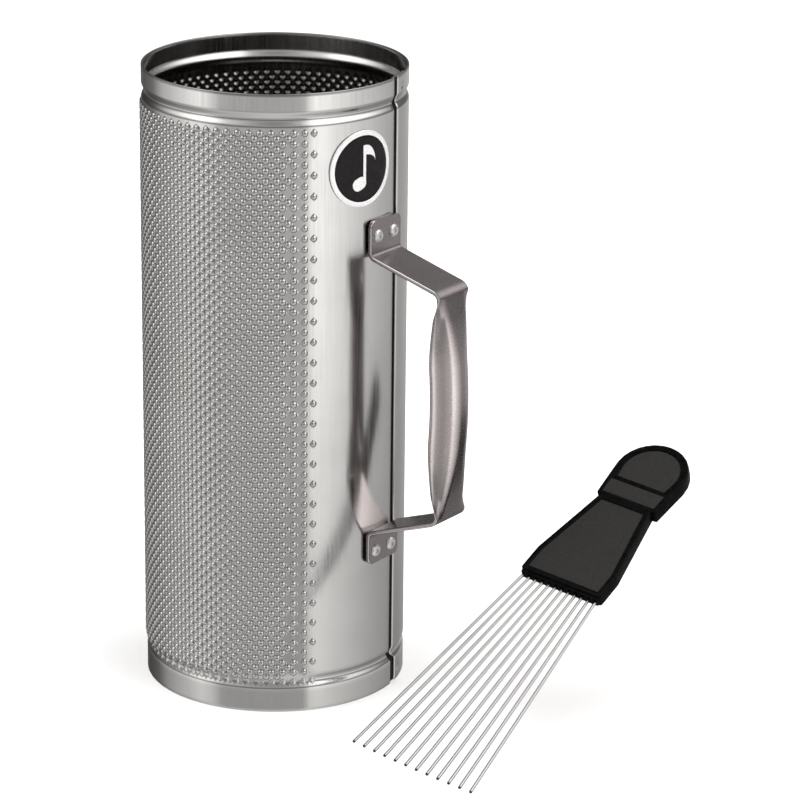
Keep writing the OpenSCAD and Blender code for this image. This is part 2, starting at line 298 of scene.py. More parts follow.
def seam_shade():
    """Painted shade: a dull near-black in the gap of the lap seam and on the inner half of its cut edge."""
    n = Nodes("seam_shade")
    mottle = n.noise(700, 4)
    colour = n.mix(n.between(mottle, 0, 1, 0.3, 0.7), (0.004, 0.004, 0.004), (0.02, 0.018, 0.017))
    return n.set(Base_Color=colour, Roughness=n.between(mottle, 0.6, 0.85, 0.3, 0.7),
                 Specular_IOR_Level=0.1, Normal=n.bump(mottle, 0.00005, 0.5))


def inner_shaded_steel():
    """The tube's unpolished inside, darkened as painted shade where little light gets into the tube."""
    n = Nodes("inner_shaded_steel")
    lines = n.noise(900, 3, (1, 1, 0.03))
    mottle = n.noise(45, 4)
    colour = n.mix(n.between(mottle, 0, 1, 0.3, 0.7), (0.2, 0.19, 0.185), (0.33, 0.32, 0.31))
    rough = n.between(lines, 0.16, 0.26, 0.3, 0.7)
    return n.set(Base_Color=colour, Metallic=1.0, Roughness=rough, Normal=n.bump(lines, 0.00002, 0.5))


def gunmetal():
    """Satin grey strap with a fine speckle, with painted highlights along the rolls of the grip and painted light on
    its inner side.
    """
    n = Nodes("gunmetal")
    speckle = n.noise(2600, 2)
    patches = n.noise(60, 4)
    colour = n.mix(n.between(speckle, 0, 1, 0.35, 0.65), (0.24, 0.212, 0.218), (0.36, 0.322, 0.328))
    colour = n.mix(n.between(patches, 0, 0.5, 0.4, 0.7), colour, (0.34, 0.312, 0.316))
    painted_shine = n.between(speckle, 0.55, 1.0, 0.35, 0.65)
    painted_shine = n.times(painted_shine, n.share_of("painted_shine"))
    # painted highlight along the grip's rolls, and painted light on the strap's inner side
    colour = n.mix(painted_shine, colour, (0.86, 0.79, 0.78))
    rough = n.between(speckle, 0.18, 0.3, 0.3, 0.7)
    return n.set(Base_Color=colour, Metallic=1.0, Roughness=rough, Normal=n.bump(speckle, 0.00003, 0.5))


def bright_metal(name, colour, low, high):
    """Drawn or polished metal with fine marks."""
    n = Nodes(name)
    marks = n.noise(1500, 4)
    shade = n.mix(n.between(marks, 0, 1, 0.3, 0.7), tuple(c * 0.85 for c in colour), colour)
    rough = n.between(marks, low, high, 0.3, 0.7)
    return n.set(Base_Color=shade, Metallic=1.0, Roughness=rough, Normal=n.bump(marks, 0.00002, 0.3))


def badge_silver():
    n = Nodes("badge_silver")
    grain = n.noise(1800, 3)
    colour = n.mix(n.between(grain, 0, 1, 0.3, 0.7), (0.82, 0.82, 0.82), (0.9, 0.9, 0.9))
    return n.set(Base_Color=colour, Metallic=0.35, Roughness=n.between(grain, 0.25, 0.35, 0.3, 0.7),
                 Normal=n.bump(grain, 0.00002, 0.2))


def badge_black():
    n = Nodes("badge_black")
    grain = n.noise(500, 3)
    colour = n.mix(n.between(grain, 0, 1, 0.3, 0.7), (0.008, 0.007, 0.008), (0.014, 0.012, 0.013))
    return n.set(Base_Color=colour, Roughness=n.between(grain, 0.2, 0.28, 0.3, 0.7),
                 Specular_IOR_Level=0.12, Normal=n.bump(grain, 0.00002, 0.2))


def foam_tape():
    n = Nodes("foam_tape")
    cells = n.noise(2500, 2)
    colour = n.mix(n.between(cells, 0, 1, 0.3, 0.7), (0.05, 0.05, 0.05), (0.11, 0.11, 0.11))
    return n.set(Base_Color=colour, Roughness=0.9, Normal=n.bump(cells, 0.0001, 0.6))


def satin_plastic():
    """Moulded black plastic with a faint flow texture."""
    n = Nodes("satin_plastic")
    flow = n.noise(300, 4)
    fine = n.noise(3000, 2)
    colour = n.mix(n.between(flow, 0, 1, 0.3, 0.7), (0.0015, 0.0015, 0.0015), (0.004, 0.004, 0.004))
    return n.set(Base_Color=colour, Roughness=n.between(flow, 0.22, 0.34, 0.3, 0.7), Specular_IOR_Level=0.035,
                 Normal=n.bump(fine, 0.00003, 0.3))


def grained_plastic():
    """Spark-grained panel of the black plastic."""
    n = Nodes("grained_plastic")
    grain = n.noise(2300, 3, rough=0.7)
    colour = n.mix(n.between(grain, 0, 1, 0.35, 0.65), (0.011, 0.011, 0.0105), (0.032, 0.031, 0.03))
    return n.set(Base_Color=colour, Roughness=n.between(grain, 0.5, 0.7, 0.3, 0.7), Specular_IOR_Level=0.15,
                 Normal=n.bump(grain, 0.00012, 0.7))


STEEL = brushed_steel()
SEAM_SHADE = seam_shade()
INNER_SHADED = inner_shaded_steel()
GUNMETAL = gunmetal()
RIVET_METAL = bright_metal("rivet_metal", (0.86, 0.86, 0.85), 0.3, 0.42)
MANDREL_METAL = bright_metal("mandrel_metal", (0.5, 0.49, 0.48), 0.3, 0.45)
WIRE_METAL = bright_metal("wire_metal", (0.46, 0.465, 0.47), 0.14, 0.22)
EDGE_METAL = bright_metal("strap_edge", (0.75, 0.74, 0.73), 0.22, 0.34)
TIP_METAL = bright_metal("tip_metal", (0.05, 0.05, 0.05), 0.35, 0.5)
SILVER = badge_silver()
BLACK = badge_black()
TAPE = foam_tape()
SATIN = satin_plastic()
GRAIN = grained_plastic()


# ---- embossed shell --------------------------------------------------------------------------

LOW_BEAD_Z = 15.3 * MM
TOP_BEAD_Z = TUBE_H - 12 * MM
BEAD_DEPTH = 1.3 * MM
BEAD_W = 7.6 * MM
EDGE_ROUND = 0.12 * MM           # rounding of the sheet's cut rims
LAP_GAP = 0.05 * MM              # air between the two layers of the seam
JOGGLE_DEG = (60.9, 61.6)        # where the sheet steps in behind the seam's outer edge
FOOT_EDGE_DEG = 3.2              # how far the seam's free edge is drawn back at the foot
FOOT_JOGGLE_DEG = 1.7            # and how much later the sheet steps in there
SEAM_BEVEL = 0.33 * MM           # chamfer of the seam's cut edge
SEAM_BRIGHT = 0.5                # share of the cut edge, from its outer face, that stands clear of the seam's painted shade
LAP_END_DEG = 75.3
WELD_DEG = SEAM_DEG + 4.96
WELD_END = 5.5 * MM
WELD_R = 2.3 * MM
WELD_DEEP = 0.35 * MM
ROW_Z = 15.2 * MM                # lowest bumps' height
ROW_PITCH = 5.037 * MM
ROWS = 55
FIELD_END_DEG = 12.5             # outermost full column on the handle's side
FULL_COLUMNS = 113
COLUMN_DEG = 2.36
SQUEEZE = 0.82                   # the lone edge columns stand closer than the others
BUMP_R = 1.78 * MM
BUMP_H = 0.85 * MM
ROUND = 12                       # points round a bump
# rings of points round a bump: share of its radius, share of its height, and how much painted shade it gets there
BUMP_RINGS = ((1.0, 0.0, 0.1), (0.87, 0.18, 1.0), (0.69, 0.70, 0.05), (0.4, 0.95, 0.0))
DIMPLE_RINGS = ((0.98, 0.0, 0.5), (0.6, 0.66, 1.0))


def bead_dip(z):
    dip = np.zeros_like(z)
    for centre in (LOW_BEAD_Z, TOP_BEAD_Z):
        wave = BEAD_DEPTH * (1 + np.cos(2 * np.pi * (z - centre) / BEAD_W)) / 2
        dip += np.where(np.abs(z - centre) < BEAD_W / 2, wave, 0)
    return dip


def weld_dent(angle, z):
    """Depth of the spot welds' dents in the outer layer; its free edge is at SEAM_DEG - 360."""
    across = np.radians(angle + 360 - WELD_DEG) * TUBE_R
    dent = np.zeros_like(z)
    for centre in (WELD_END, TUBE_H - WELD_END):
        near = 1 - (across ** 2 + (z - centre) ** 2) / WELD_R ** 2
        dent += WELD_DEEP * np.clip(near, 0, 1) ** 1.5
    return dent


def at_foot(z):
    """1 in the plain band under the lower bead, 0 above the bead."""
    return 1 - smooth_step(z, LOW_BEAD_Z - BEAD_W / 2, LOW_BEAD_Z)


def joggle_start(z):
    """Facing angle at which the sheet begins to step in behind the seam's free edge."""
    return JOGGLE_DEG[0] + FOOT_JOGGLE_DEG * at_foot(z)


def with_edge(angle, z):
    """Facing angles of grid points, with the seam's free edge drawn back at the foot."""
    near_edge = np.clip(1 - (angle + 360 - SEAM_DEG) / 9, 0, 1)
    return angle + FOOT_EDGE_DEG * at_foot(z) * near_edge


def sheet_radius(angle, z):
    """Radius of the sheet's outer face, from the seam's free edge once round to the end under the lap."""
    step_in = joggle_start(z)
    step = (SHEET_T + LAP_GAP) * smooth_step(angle, step_in, step_in + JOGGLE_DEG[1] - JOGGLE_DEG[0])
    bevel = SEAM_BEVEL * np.clip(1 - (angle + 360 - SEAM_DEG) / 0.4, 0, 1)
    return TUBE_R - bead_dip(z) - step - bevel - weld_dent(angle, z)


def spread(start, end, step):
    """Even values from start to end, no further apart than step."""
    return np.linspace(start, end, max(1, math.ceil(abs(end - start) / step - 1e-6)) + 1)


def field_columns():
    """Facing angles of the columns of the bump field, with a plain line at each side."""
    squeezed = COLUMN_DEG * SQUEEZE
    right = FIELD_END_DEG + squeezed * np.arange(1, 4)
    full = FIELD_END_DEG - COLUMN_DEG * np.arange(FULL_COLUMNS)[::-1]
    left = full[0] - squeezed * np.arange(3, 0, -1)
    return np.concatenate([left, full, right])


COLUMNS = field_columns()
LAST = len(COLUMNS) - 1          # number of the field's last column line
TOP_HALF = 2 * ROWS - 1          # the field's rows are counted in half pitches, from -1 to this


def bump_share(m, h):
    """Height of the bump at column m and half row h, as a share; h is odd in every other column."""
    side = min(m, LAST - m)
    if side in (2, 4):
        return 0.0
    if side == 1 and h % 4:
        return 0.0
    if side == 6 and h % 4 != 3:
        return 0.0
    return 0.45 if h == 0 else 1.0


def sheet_rows():
    """Heights of the sheet's grid rows, the row number of each half row, and the field's first and last."""
    bottom_z = ROW_Z - ROW_PITCH / 2
    top_z = ROW_Z + TOP_HALF * ROW_PITCH / 2
    rows = list(spread(EDGE_ROUND, WELD_END - WELD_R, 1.6 * MM)[:-1])
    rows += list(spread(WELD_END - WELD_R, WELD_END + WELD_R, 0.4 * MM)[:-1])
    rows += list(spread(WELD_END + WELD_R, LOW_BEAD_Z - BEAD_W / 2, 2 * MM)[:-1])
    rows += list(spread(LOW_BEAD_Z - BEAD_W / 2, bottom_z, 0.5 * MM)[:-1])
    half_row = {}
    for h in range(-1, TOP_HALF + 1):
        z = ROW_Z + h * ROW_PITCH / 2
        half_row[h] = len(rows)
        rows.append(z)
        if h < TOP_HALF and z < LOW_BEAD_Z + BEAD_W / 2:
            rows += list(spread(z, z + ROW_PITCH / 2, 0.65 * MM)[1:-1])
    bead_low, bead_top = TOP_BEAD_Z - BEAD_W / 2, TOP_BEAD_Z + BEAD_W / 2
    weld_z = TUBE_H - WELD_END
    rows += list(spread(top_z, bead_low, 0.5 * MM)[1:])
    rows += list(spread(bead_low, bead_top, 0.5 * MM)[1:])
    rows += list(spread(bead_top, weld_z - WELD_R, 2 * MM)[1:])
    rows += list(spread(weld_z - WELD_R, weld_z + WELD_R, 0.4 * MM)[1:])
    rows += list(spread(weld_z + WELD_R, TUBE_H - EDGE_ROUND, 1.6 * MM)[1:])
    return np.array(rows), half_row


def sheet_columns():
    """Facing angles of the sheet's grid columns, and the number of the field's first one."""
    seam = SEAM_DEG - 360
    weld = WELD_DEG - 360
    left = np.concatenate([
        spread(seam, seam + 0.4, 0.14)[:-1], spread(seam + 0.4, weld - 2.2, 0.8)[:-1],
        spread(weld - 2.2, weld + 2.2, 0.36)[:-1],
        spread(weld + 2.2, COLUMNS[0], 2.4)[:-1]])
    right = np.concatenate([
        spread(COLUMNS[-1], JOGGLE_DEG[0], 2.4)[1:],
        spread(JOGGLE_DEG[0], JOGGLE_DEG[1] + FOOT_JOGGLE_DEG, 0.14)[1:],
        spread(JOGGLE_DEG[1] + FOOT_JOGGLE_DEG, LAP_END_DEG, 1.2)[1:]])
    return np.concatenate([left, COLUMNS, right]), len(left)


def sheet_face(depth, rings):
    """One face of the sheet: points, face sets and the table of its grid points, depth under the outer face.

    The field is a lattice of diamonds, each with a bump or plain, whose corners are grid points."""
    rows, half_row = sheet_rows()
    cols, first = sheet_columns()
    angle, height, lift = [], [], []

    def add(a, z, up=0.0):
        angle.append(np.ravel(a))
        height.append(np.ravel(z))
        lift.append(np.ravel(up + 0 * np.asarray(a, float)))
        start = sum(len(x) for x in angle[:-1])
        return start + np.arange(np.size(a)).reshape(np.shape(a))

    low_row, top_row = half_row[-1], half_row[TOP_HALF]
    on_half_row = np.isin(np.arange(len(rows)), list(half_row.values()))
    c, r = np.meshgrid(np.arange(len(cols)), np.arange(len(rows)), indexing="ij")
    inside = (c > first) & (c < first + LAST) & (r > low_row) & (r < top_row)
    wanted = ~inside | on_half_row[r]
    table = np.full(c.shape, -1)
    table[wanted] = add(cols[c[wanted]], rows[r[wanted]])
    in_field = (c[:-1, :-1] >= first) & (c[:-1, :-1] < first + LAST)
    in_field &= (r[:-1, :-1] >= low_row) & (r[:-1, :-1] < top_row)
    quads = np.stack([table[:-1, :-1], table[1:, :-1], table[1:, 1:], table[:-1, 1:]], axis=-1)[~in_field]

    rows_of_half = np.array([half_row[h] for h in range(-1, TOP_HALF + 1)])
    node = table[first:first + LAST + 1][:, rows_of_half]      # column m, half row h + 1
    zs = rows[rows_of_half]
    m_all, h_all = np.meshgrid(np.arange(LAST + 1), np.arange(-1, TOP_HALF + 1), indexing="ij")
    corner = (m_all + h_all) % 2 == 0

    def edge_points(rise):
        """Two points on each diamond edge from a corner to the next column's corner, rise half rows up."""
        ids = np.full((LAST + 1, TOP_HALF + 2, 2), -1)
        ok = corner & (m_all < LAST) & (h_all + rise >= -1) & (h_all + rise <= TOP_HALF)
        m, h = m_all[ok], h_all[ok] + 1
        for k in (0, 1):
            t = (k + 1) / 3
            a = COLUMNS[m] + (COLUMNS[m + 1] - COLUMNS[m]) * t
            ids[m, h, k] = add(a, zs[h] + (zs[h + rise] - zs[h]) * t)
        return ids

    up, down = edge_points(1), edge_points(-1)
    whole = ~corner & (m_all > 0) & (m_all < LAST) & (h_all > -1) & (h_all < TOP_HALF)
    m, h = m_all[whole], h_all[whole] + 1
    edge = np.stack([
        node[m + 1, h], down[m, h + 1, 1], down[m, h + 1, 0], node[m, h + 1], up[m - 1, h, 1],
        up[m - 1, h, 0], node[m - 1, h], down[m - 1, h, 0], down[m - 1, h, 1], node[m, h - 1],
        up[m, h - 1, 0], up[m, h - 1, 1]], axis=1)
    share = np.array([bump_share(int(a), int(b)) for a, b in zip(m, h - 1)])
    centre = node[m, h]
    plain = share == 0
    fan = [np.stack([np.repeat(centre[plain], ROUND), edge[plain].ravel(),
                     np.roll(edge[plain], -1, axis=1).ravel()], axis=1)]

    m, h, edge, centre, share = m[~plain], h[~plain], edge[~plain], centre[~plain], share[~plain]
    turn = 2 * np.pi * np.arange(ROUND) / ROUND
    bump_r = BUMP_R * np.where(np.minimum(m, LAST - m) <= 4, 0.92, 1.0)[:, None]
    field_quads, before, feet = [], edge, []
    for radius, rise, ring_shade in rings:
        across = np.degrees(radius * bump_r * np.cos(turn) / TUBE_R)
        ring = add(COLUMNS[m][:, None] + across, zs[h][:, None] + radius * bump_r * np.sin(turn),
                   share[:, None] * rise * BUMP_H)
        field_quads.append(np.stack([before, np.roll(before, -1, axis=1), np.roll(ring, -1, axis=1), ring],
                                    axis=-1).reshape(-1, 4))
        before = ring
        feet.append((ring, ring_shade * share[:, None]))
    fan.append(np.stack([np.repeat(centre, ROUND), before.ravel(), np.roll(before, -1, axis=1).ravel()], axis=1))

    def side_chain(m, h0, h1):
        """Grid points from one half row to another along a border column."""
        a, b = half_row[h0], half_row[h1]
        step = 1 if b >= a else -1
        return [table[first + m, k] for k in range(a, b + step, step)]

    border = []
    for m in range(LAST + 1):
        for h in range(-1, TOP_HALF + 1):
            if (m + h) % 2 == 0 or (0 < m < LAST and -1 < h < TOP_HALF):
                continue
            here, k = node[m, h + 1], h + 1
            paths = []
            if m < LAST and h < TOP_HALF:
                paths.append([node[m + 1, k], down[m, k + 1, 1], down[m, k + 1, 0]])
                paths[-1] += side_chain(m, h + 1, h)[:-1] if m == 0 else [node[m, k + 1]]
            if m > 0 and h < TOP_HALF:
                start = side_chain(m, h, h + 1)[1:] if m == LAST else [node[m, k + 1]]
                paths.append(start + [up[m - 1, k, 1], up[m - 1, k, 0], node[m - 1, k]])
            if m > 0 and h > -1:
                paths.append([node[m - 1, k], down[m - 1, k, 0], down[m - 1, k, 1]])
                paths[-1] += side_chain(m, h - 1, h)[:-1] if m == LAST else [node[m, k - 1]]
            if m < LAST and h > -1:
                start = side_chain(m, h, h - 1)[1:] if m == 0 else [node[m, k - 1]]
                paths.append(start + [up[m, k - 1, 0], up[m, k - 1, 1], node[m + 1, k]])
            for path in paths:
                # a path along the border itself would make flat triangles, so the fan starts off it
                on_line = [p for p in path if p in side_points(table, first, m)]
                border += fan_of(here, path, on_line)
    fan.append(np.array(border))

    angle, height, lift = (np.concatenate(x) for x in (angle, height, lift))
    lift[centre] = share * BUMP_H * (1.0 if depth == 0 else 0.78)
    points = around(with_edge(angle, height), sheet_radius(angle, height) - depth + lift, height)
    flat = np.stack([angle, height], axis=1)
    # painted shade at the bumps' feet, kept with each point for the steel's colour
    foot_shade = np.zeros(len(angle))
    for ring, value in feet:
        foot_shade[ring] = value
    return points, [quads] + field_quads + [np.concatenate(fan)], table, flat, foot_shade


def side_points(table, first, m):
    """Grid points of a border column, as a set; empty for the columns inside the field."""
    return set(table[first + m].tolist()) if m in (0, LAST) else set()


def fan_of(here, path, on_line):
    """Triangles that fill the cell between a border point and a path; on_line lists border-column points."""
    if len(on_line) < 2:
        return [[here, a, b] for a, b in zip(path, path[1:])]
    if path[0] in on_line:
        chain, rest = path[:len(on_line)], path[len(on_line):]
        pivot = rest[0]
        line = [here] + chain
        return [[a, b, pivot] for a, b in zip(line, line[1:])] + [[here, a, b] for a, b in zip(rest, rest[1:])]
    rest, chain = path[:-len(on_line)], path[-len(on_line):]
    pivot = rest[-1]
    line = chain + [here]
    return [[pivot, a, b] for a, b in zip(line, line[1:])] + [[here, a, b] for a, b in zip(rest, rest[1:])]


def rim_loops(cols, top):
    """The four loops that round the sheet's cut edge over, from the outer face to the inner one."""
    way = 1 if top else -1
    z = TUBE_H if top else 0.0
    r = sheet_radius(cols, np.full(len(cols), z - way * EDGE_ROUND))
    corner = EDGE_ROUND * (1 - math.sqrt(0.5))
    steps = ((corner, corner), (EDGE_ROUND, 0), (SHEET_T - EDGE_ROUND, 0), (SHEET_T - corner, corner))
    drawn = with_edge(cols, np.full(len(cols), z))
    return [around(drawn, r - inward, np.full(len(cols), z - way * down)) for inward, down in steps]


def build_shell():
    outer, outer_faces, outer_table, outer_flat, outer_foot_shade = sheet_face(0.0, BUMP_RINGS)
    inner, inner_faces, inner_table, inner_flat, inner_foot_shade = sheet_face(SHEET_T, DIMPLE_RINGS)
    inner_table = inner_table + len(outer)
    points, faces = [outer, inner], outer_faces + [f[:, ::-1] + len(outer) for f in inner_faces]
    flats = [outer_flat, inner_flat]
    cols = sheet_columns()[0]
    count = len(outer) + len(inner)
    rims = {}
    for row, top in ((-1, True), (0, False)):
        ids = [outer_table[:, row]]
        for loop in rim_loops(cols, top):
            points.append(loop)
            flats.append(np.stack([cols, loop[:, 2]], axis=1))
            ids.append(count + np.arange(len(cols)))
            count += len(cols)
        ids.append(inner_table[:, row])
        rims[top] = ids
        for a, b in zip(ids, ids[1:]):
            quad = np.stack([a[:-1], a[1:], b[1:], b[:-1]], axis=1)
            faces.append(quad if top else quad[:, ::-1])
    a, b = outer_table[0], inner_table[0]
    both = np.concatenate(points[:2])
    points.append(both[a] + (both[b] - both[a]) * SEAM_BRIGHT)
    flats.append(np.stack([np.full(len(a), cols[0]), points[-1][:, 2]], axis=1))
    middle = count + np.arange(len(a))
    # the half of the cut edge towards the inner face gets the seam's painted shade
    dark = []
    for upper, lower in ((a, middle), (middle, b)):
        dark.append(len(faces))
        faces.append(np.stack([upper[:-1], lower[:-1], lower[1:], upper[1:]], axis=1)[:, ::-1])
    for top, row in ((True, -1), (False, 0)):
        cap = np.array([[ids[0] for ids in rims[top]] + [middle[row]]])
        faces.append(cap[:, ::-1] if top else cap)
    a, b = outer_table[-1], inner_table[-1]
    faces.append(np.stack([a[:-1], b[:-1], b[1:], a[1:]], axis=1))
    for top in (True, False):
        cap = np.array([[ids[-1] for ids in rims[top]]])
        faces.append(cap if top else cap[:, ::-1])
    faces, numbers = split_faces(faces, np.concatenate(flats), len(outer), len(outer) + len(inner), dark[1])
    mesh = new_mesh("embossed_shell", np.concatenate(points), faces, numbers)
    # the painted shade at the bumps' feet, for the whole shell
    shell_foot_shade = np.zeros(len(mesh.vertices))
    shell_foot_shade[:len(outer) + len(inner)] = np.concatenate([outer_foot_shade, inner_foot_shade])
    keep_share(mesh, "foot_shade", shell_foot_shade)
    lay_out_shell(mesh, np.concatenate(flats), len(outer), len(outer) + len(inner))
    return mesh


def split_faces(faces, flat, outer_end, inner_end, dark_set):
    """Splits off the faces in the seam's gap and the foot of its cut edge (1), which get painted shade, and the
    inside below the top bead (2), darkened as painted shade.
    """
    kept, numbers = [], []
    for number, f in enumerate(faces):
        gap = np.all((flat[f, 0] > joggle_start(flat[f, 1]) + 0.1) & (f < outer_end), axis=1)
        gap |= number == dark_set
        # the inside below the top bead takes the darker steel, as painted shade
        shaded_inside = np.all((f >= outer_end) & (f < inner_end), axis=1)
        shaded_inside &= np.all(flat[f, 1] < TOP_BEAD_Z - 0.1 * MM, axis=1) & ~gap
        for part, material in ((f[~gap & ~shaded_inside], 0), (f[gap], 1), (f[shaded_inside], 2)):
            if len(part):
                kept.append(part)
                numbers.append(material)
    return kept, numbers


def lay_out_shell(mesh, flat, outer_end, inner_end):
    """Unrolls the sheet for baking: the outer face over the inner face, the rims between and beside them."""
    across = (flat[:, 0] - flat[:, 0].min()) / np.ptp(flat[:, 0])
    uv = np.stack([0.02 + 0.96 * across, 0.53 + 0.45 * flat[:, 1] / TUBE_H], axis=1)
    uv[outer_end:, 1] -= 0.51
    loops = np.zeros(len(mesh.loops), np.int32)
    mesh.loops.foreach_get("vertex_index", loops)
    layer = mesh.uv_layers.new(name="OFBake")
    layer.data.foreach_set("uv", uv[loops].astype(np.float32).ravel())


add_piece("embossed_shell", build_shell(), "tube", "shell", [STEEL, SEAM_SHADE, INNER_SHADED], 62)


# ---- strap handle ----------------------------------------------------------------------------

handle_low, handle_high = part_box("handle")
STRAP_W = 23.4 * MM
STRAP_T = 2.0 * MM
FLANGE_LOW_Z = handle_low.z
FLANGE_TOP_Z = handle_high.z
ARM_LOW_Z = 86 * MM
GRIP_LOW_Z = 99.6 * MM
GRIP_TOP_Z = 212.8 * MM
ARM_TOP_Z = 224 * MM
GRIP_REACH = 104.5 * MM
GRIP_BOW = 6.5 * MM
TOUCH = 0.02 * MM
STRAP_IN = TUBE_R + TOUCH + STRAP_T / 2
STRAP_OUT = GRIP_REACH - STRAP_T / 2
BEND_R = 3 * MM
CORNER_R = 4.6 * MM
END_R = 3.2 * MM
CREASE_DEG = 78
LIP_DEG = 150
BOW_END = 0.09
SIDE = (math.cos(math.radians(HANDLE_DEG)), math.sin(math.radians(HANDLE_DEG)))
INNER_PAINTED_SHINE = 0.7                # how much painted light the strap's inner side gets
ROLL_STEPS = (10, 19)             # steps of the section at the middle of the crease and of the lip, where the painted highlights lie
FOLD_START = 0.02                # where along the grip its sides begin to fold
FLAT_RUNS = (2 * MM, 1.7 * MM, 2 * MM)       # crease, flank and lip where the strap is flat
FOLDED_RUNS = (8.5 * MM, 3.4 * MM, 9.4 * MM)  # and where it is fully folded
FOLDED_FACE = 2 * MM             # half of the flat face that is left between the creases
FOLD_RUN = 0.3                  # share of the grip over which they fold


def bow_point(s):
    return np.array([STRAP_OUT + GRIP_BOW * (1 - (2 * s - 1) ** 2), GRIP_LOW_Z + (GRIP_TOP_Z - GRIP_LOW_Z) * s])


def strap_path():
    """The strap's middle line in the plane of the handle: distance from the tube's axis, and height."""
    low_end, low_bend = (STRAP_IN, FLANGE_LOW_Z), (STRAP_IN, ARM_LOW_Z)
    low_corner, top_corner = (STRAP_OUT, GRIP_LOW_Z), (STRAP_OUT, GRIP_TOP_Z)
    top_bend, top_end = (STRAP_IN, ARM_TOP_Z), (STRAP_IN, FLANGE_TOP_Z)
    corners = [
        arc_corner(low_end, low_bend, low_corner, BEND_R, 10),
        arc_corner(low_bend, low_corner, bow_point(BOW_END), CORNER_R, 14),
        [bow_point(s) for s in np.linspace(BOW_END + 0.03, 0.97 - BOW_END, 56)],
        arc_corner(bow_point(1 - BOW_END), top_corner, top_bend, CORNER_R, 14),
        arc_corner(top_corner, top_bend, top_end, BEND_R, 10)]
    rounding = END_R * (1 - np.cos(np.linspace(0, np.pi / 2, 9)))
    path = [(STRAP_IN, FLANGE_LOW_Z + d) for d in rounding]
    path += [(STRAP_IN, z) for z in np.linspace(FLANGE_LOW_Z + END_R, corners[0][0][1], 8)[1:-1]]
    for corner, following in zip(corners, corners[1:] + [None]):
        path += [tuple(p) for p in corner]
        if following is not None:
            path += [tuple(p) for p in np.linspace(corner[-1], following[0], 8)[1:-1]]
    path += [(STRAP_IN, z) for z in np.linspace(corners[-1][-1][1], FLANGE_TOP_Z - END_R, 8)[1:-1]]
    path += [(STRAP_IN, FLANGE_TOP_Z - d) for d in rounding[::-1]]
    return np.array(path)


def fold_of(p):
    """How far the strap's sides are folded at a point of the path: 0 is flat, 1 is the grip's full fold."""
    s = (p[1] - GRIP_LOW_Z) / (GRIP_TOP_Z - GRIP_LOW_Z)
    run = (min(s, 1 - s) - FOLD_START) / FOLD_RUN
    return min(max(run, 0.0), 1.0) if p[0] >= STRAP_OUT - 1e-9 else 0.0


def end_share(z):
    """Share of the strap's width that is left near its rounded ends."""
    d = min(z - FLANGE_LOW_Z, FLANGE_TOP_Z - z)
    if d >= END_R:
        return 1.0
    return 1 - (END_R - math.sqrt(max(0, END_R ** 2 - (END_R - d) ** 2))) * 2 / STRAP_W


def mix(a, b, k):
    return a + (b - a) * k


def half_section(fold, grown, share):
    """Middle line of half the strap's section, as points and turns: face, crease, flank, rolled lip.

    fold is how far the sides are turned in, grown how far they have widened towards the folded runs."""
    crease = CREASE_DEG * (1 - (1 - fold) ** 2.4)
    lip = crease + LIP_DEG * (1 - (1 - fold) ** 3.2)
    runs = [(mix(STRAP_W / 2 - sum(FLAT_RUNS), FOLDED_FACE, grown), 0.0, 0.0, 6),
            (mix(FLAT_RUNS[0], FOLDED_RUNS[0], grown), 0.0, crease, 8),
            (mix(FLAT_RUNS[1], FOLDED_RUNS[1], grown), crease, crease, 3),
            (mix(FLAT_RUNS[2], FOLDED_RUNS[2], grown), crease, lip, 10)]
    p, points, turns = np.zeros(2), [np.zeros(2)], [0.0]
    for length, start, end, steps in runs:
        for i in range(steps):
            a = math.radians(mix(start, end, (i + 0.5) / steps))
            p = p + share * length / steps * np.array([math.cos(a), -math.sin(a)])
            points.append(p)
            turns.append(math.radians(mix(start, end, (i + 1) / steps)))
    return np.array(points), np.array(turns)


def side_reach(fold, grown):
    """How far half the strap reaches towards -X."""
    points = half_section(fold, grown, 1.0)[0]
    return (SIDE[0] * points[:, 0] - SIDE[1] * points[:, 1]).max()


def growth_of(fold):
    """Growth of the folded sides with which the grip's edge towards -X runs straight past the bow."""
    if fold in (0.0, 1.0):
        return fold

    def bow(share):
        return SIDE[1] * (bow_point(FOLD_START + FOLD_RUN * share)[0] - bow_point(FOLD_START)[0])

    flat, folded = side_reach(0.0, 0.0), side_reach(1.0, 1.0)
    wanted = flat + bow(fold) + (folded - flat - bow(1.0)) * (1 - (1 - fold) ** 2)
    low, high = 0.0, 1.2
    for _ in range(24):
        middle = (low + high) / 2
        if side_reach(fold, middle) < wanted:
            low = middle
        else:
            high = middle
    return high


def strap_section(fold, share):
    """Closed section of the strap: across it, and out from its middle line; its edges are rounded."""
    points, turns = half_section(fold, growth_of(fold), share)
    out = np.stack([np.sin(turns), np.cos(turns)], axis=1)
    along = np.array([math.cos(turns[-1]), -math.sin(turns[-1])])
    half_t = STRAP_T / 2
    edge_r = 0.55 * MM
    edge = []
    for a in np.radians([0, 30, 60, 90]):
        edge.append(points[-1] + along * (edge_r * math.sin(a) - edge_r)
                    + out[-1] * (half_t - edge_r + edge_r * math.cos(a)))
    lower = [points[-1] + along * (edge_r * math.sin(a) - edge_r)
             - out[-1] * (half_t - edge_r + edge_r * math.cos(a)) for a in np.radians([90, 60, 30, 0])]
    top = points[:-1] + half_t * out[:-1]
    low = points[:-1] - half_t * out[:-1]
    right = np.array(list(top) + edge + lower + list(low[::-1]))
    left = right[1:-1][::-1] * [-1, 1]
    return np.concatenate([right, left])


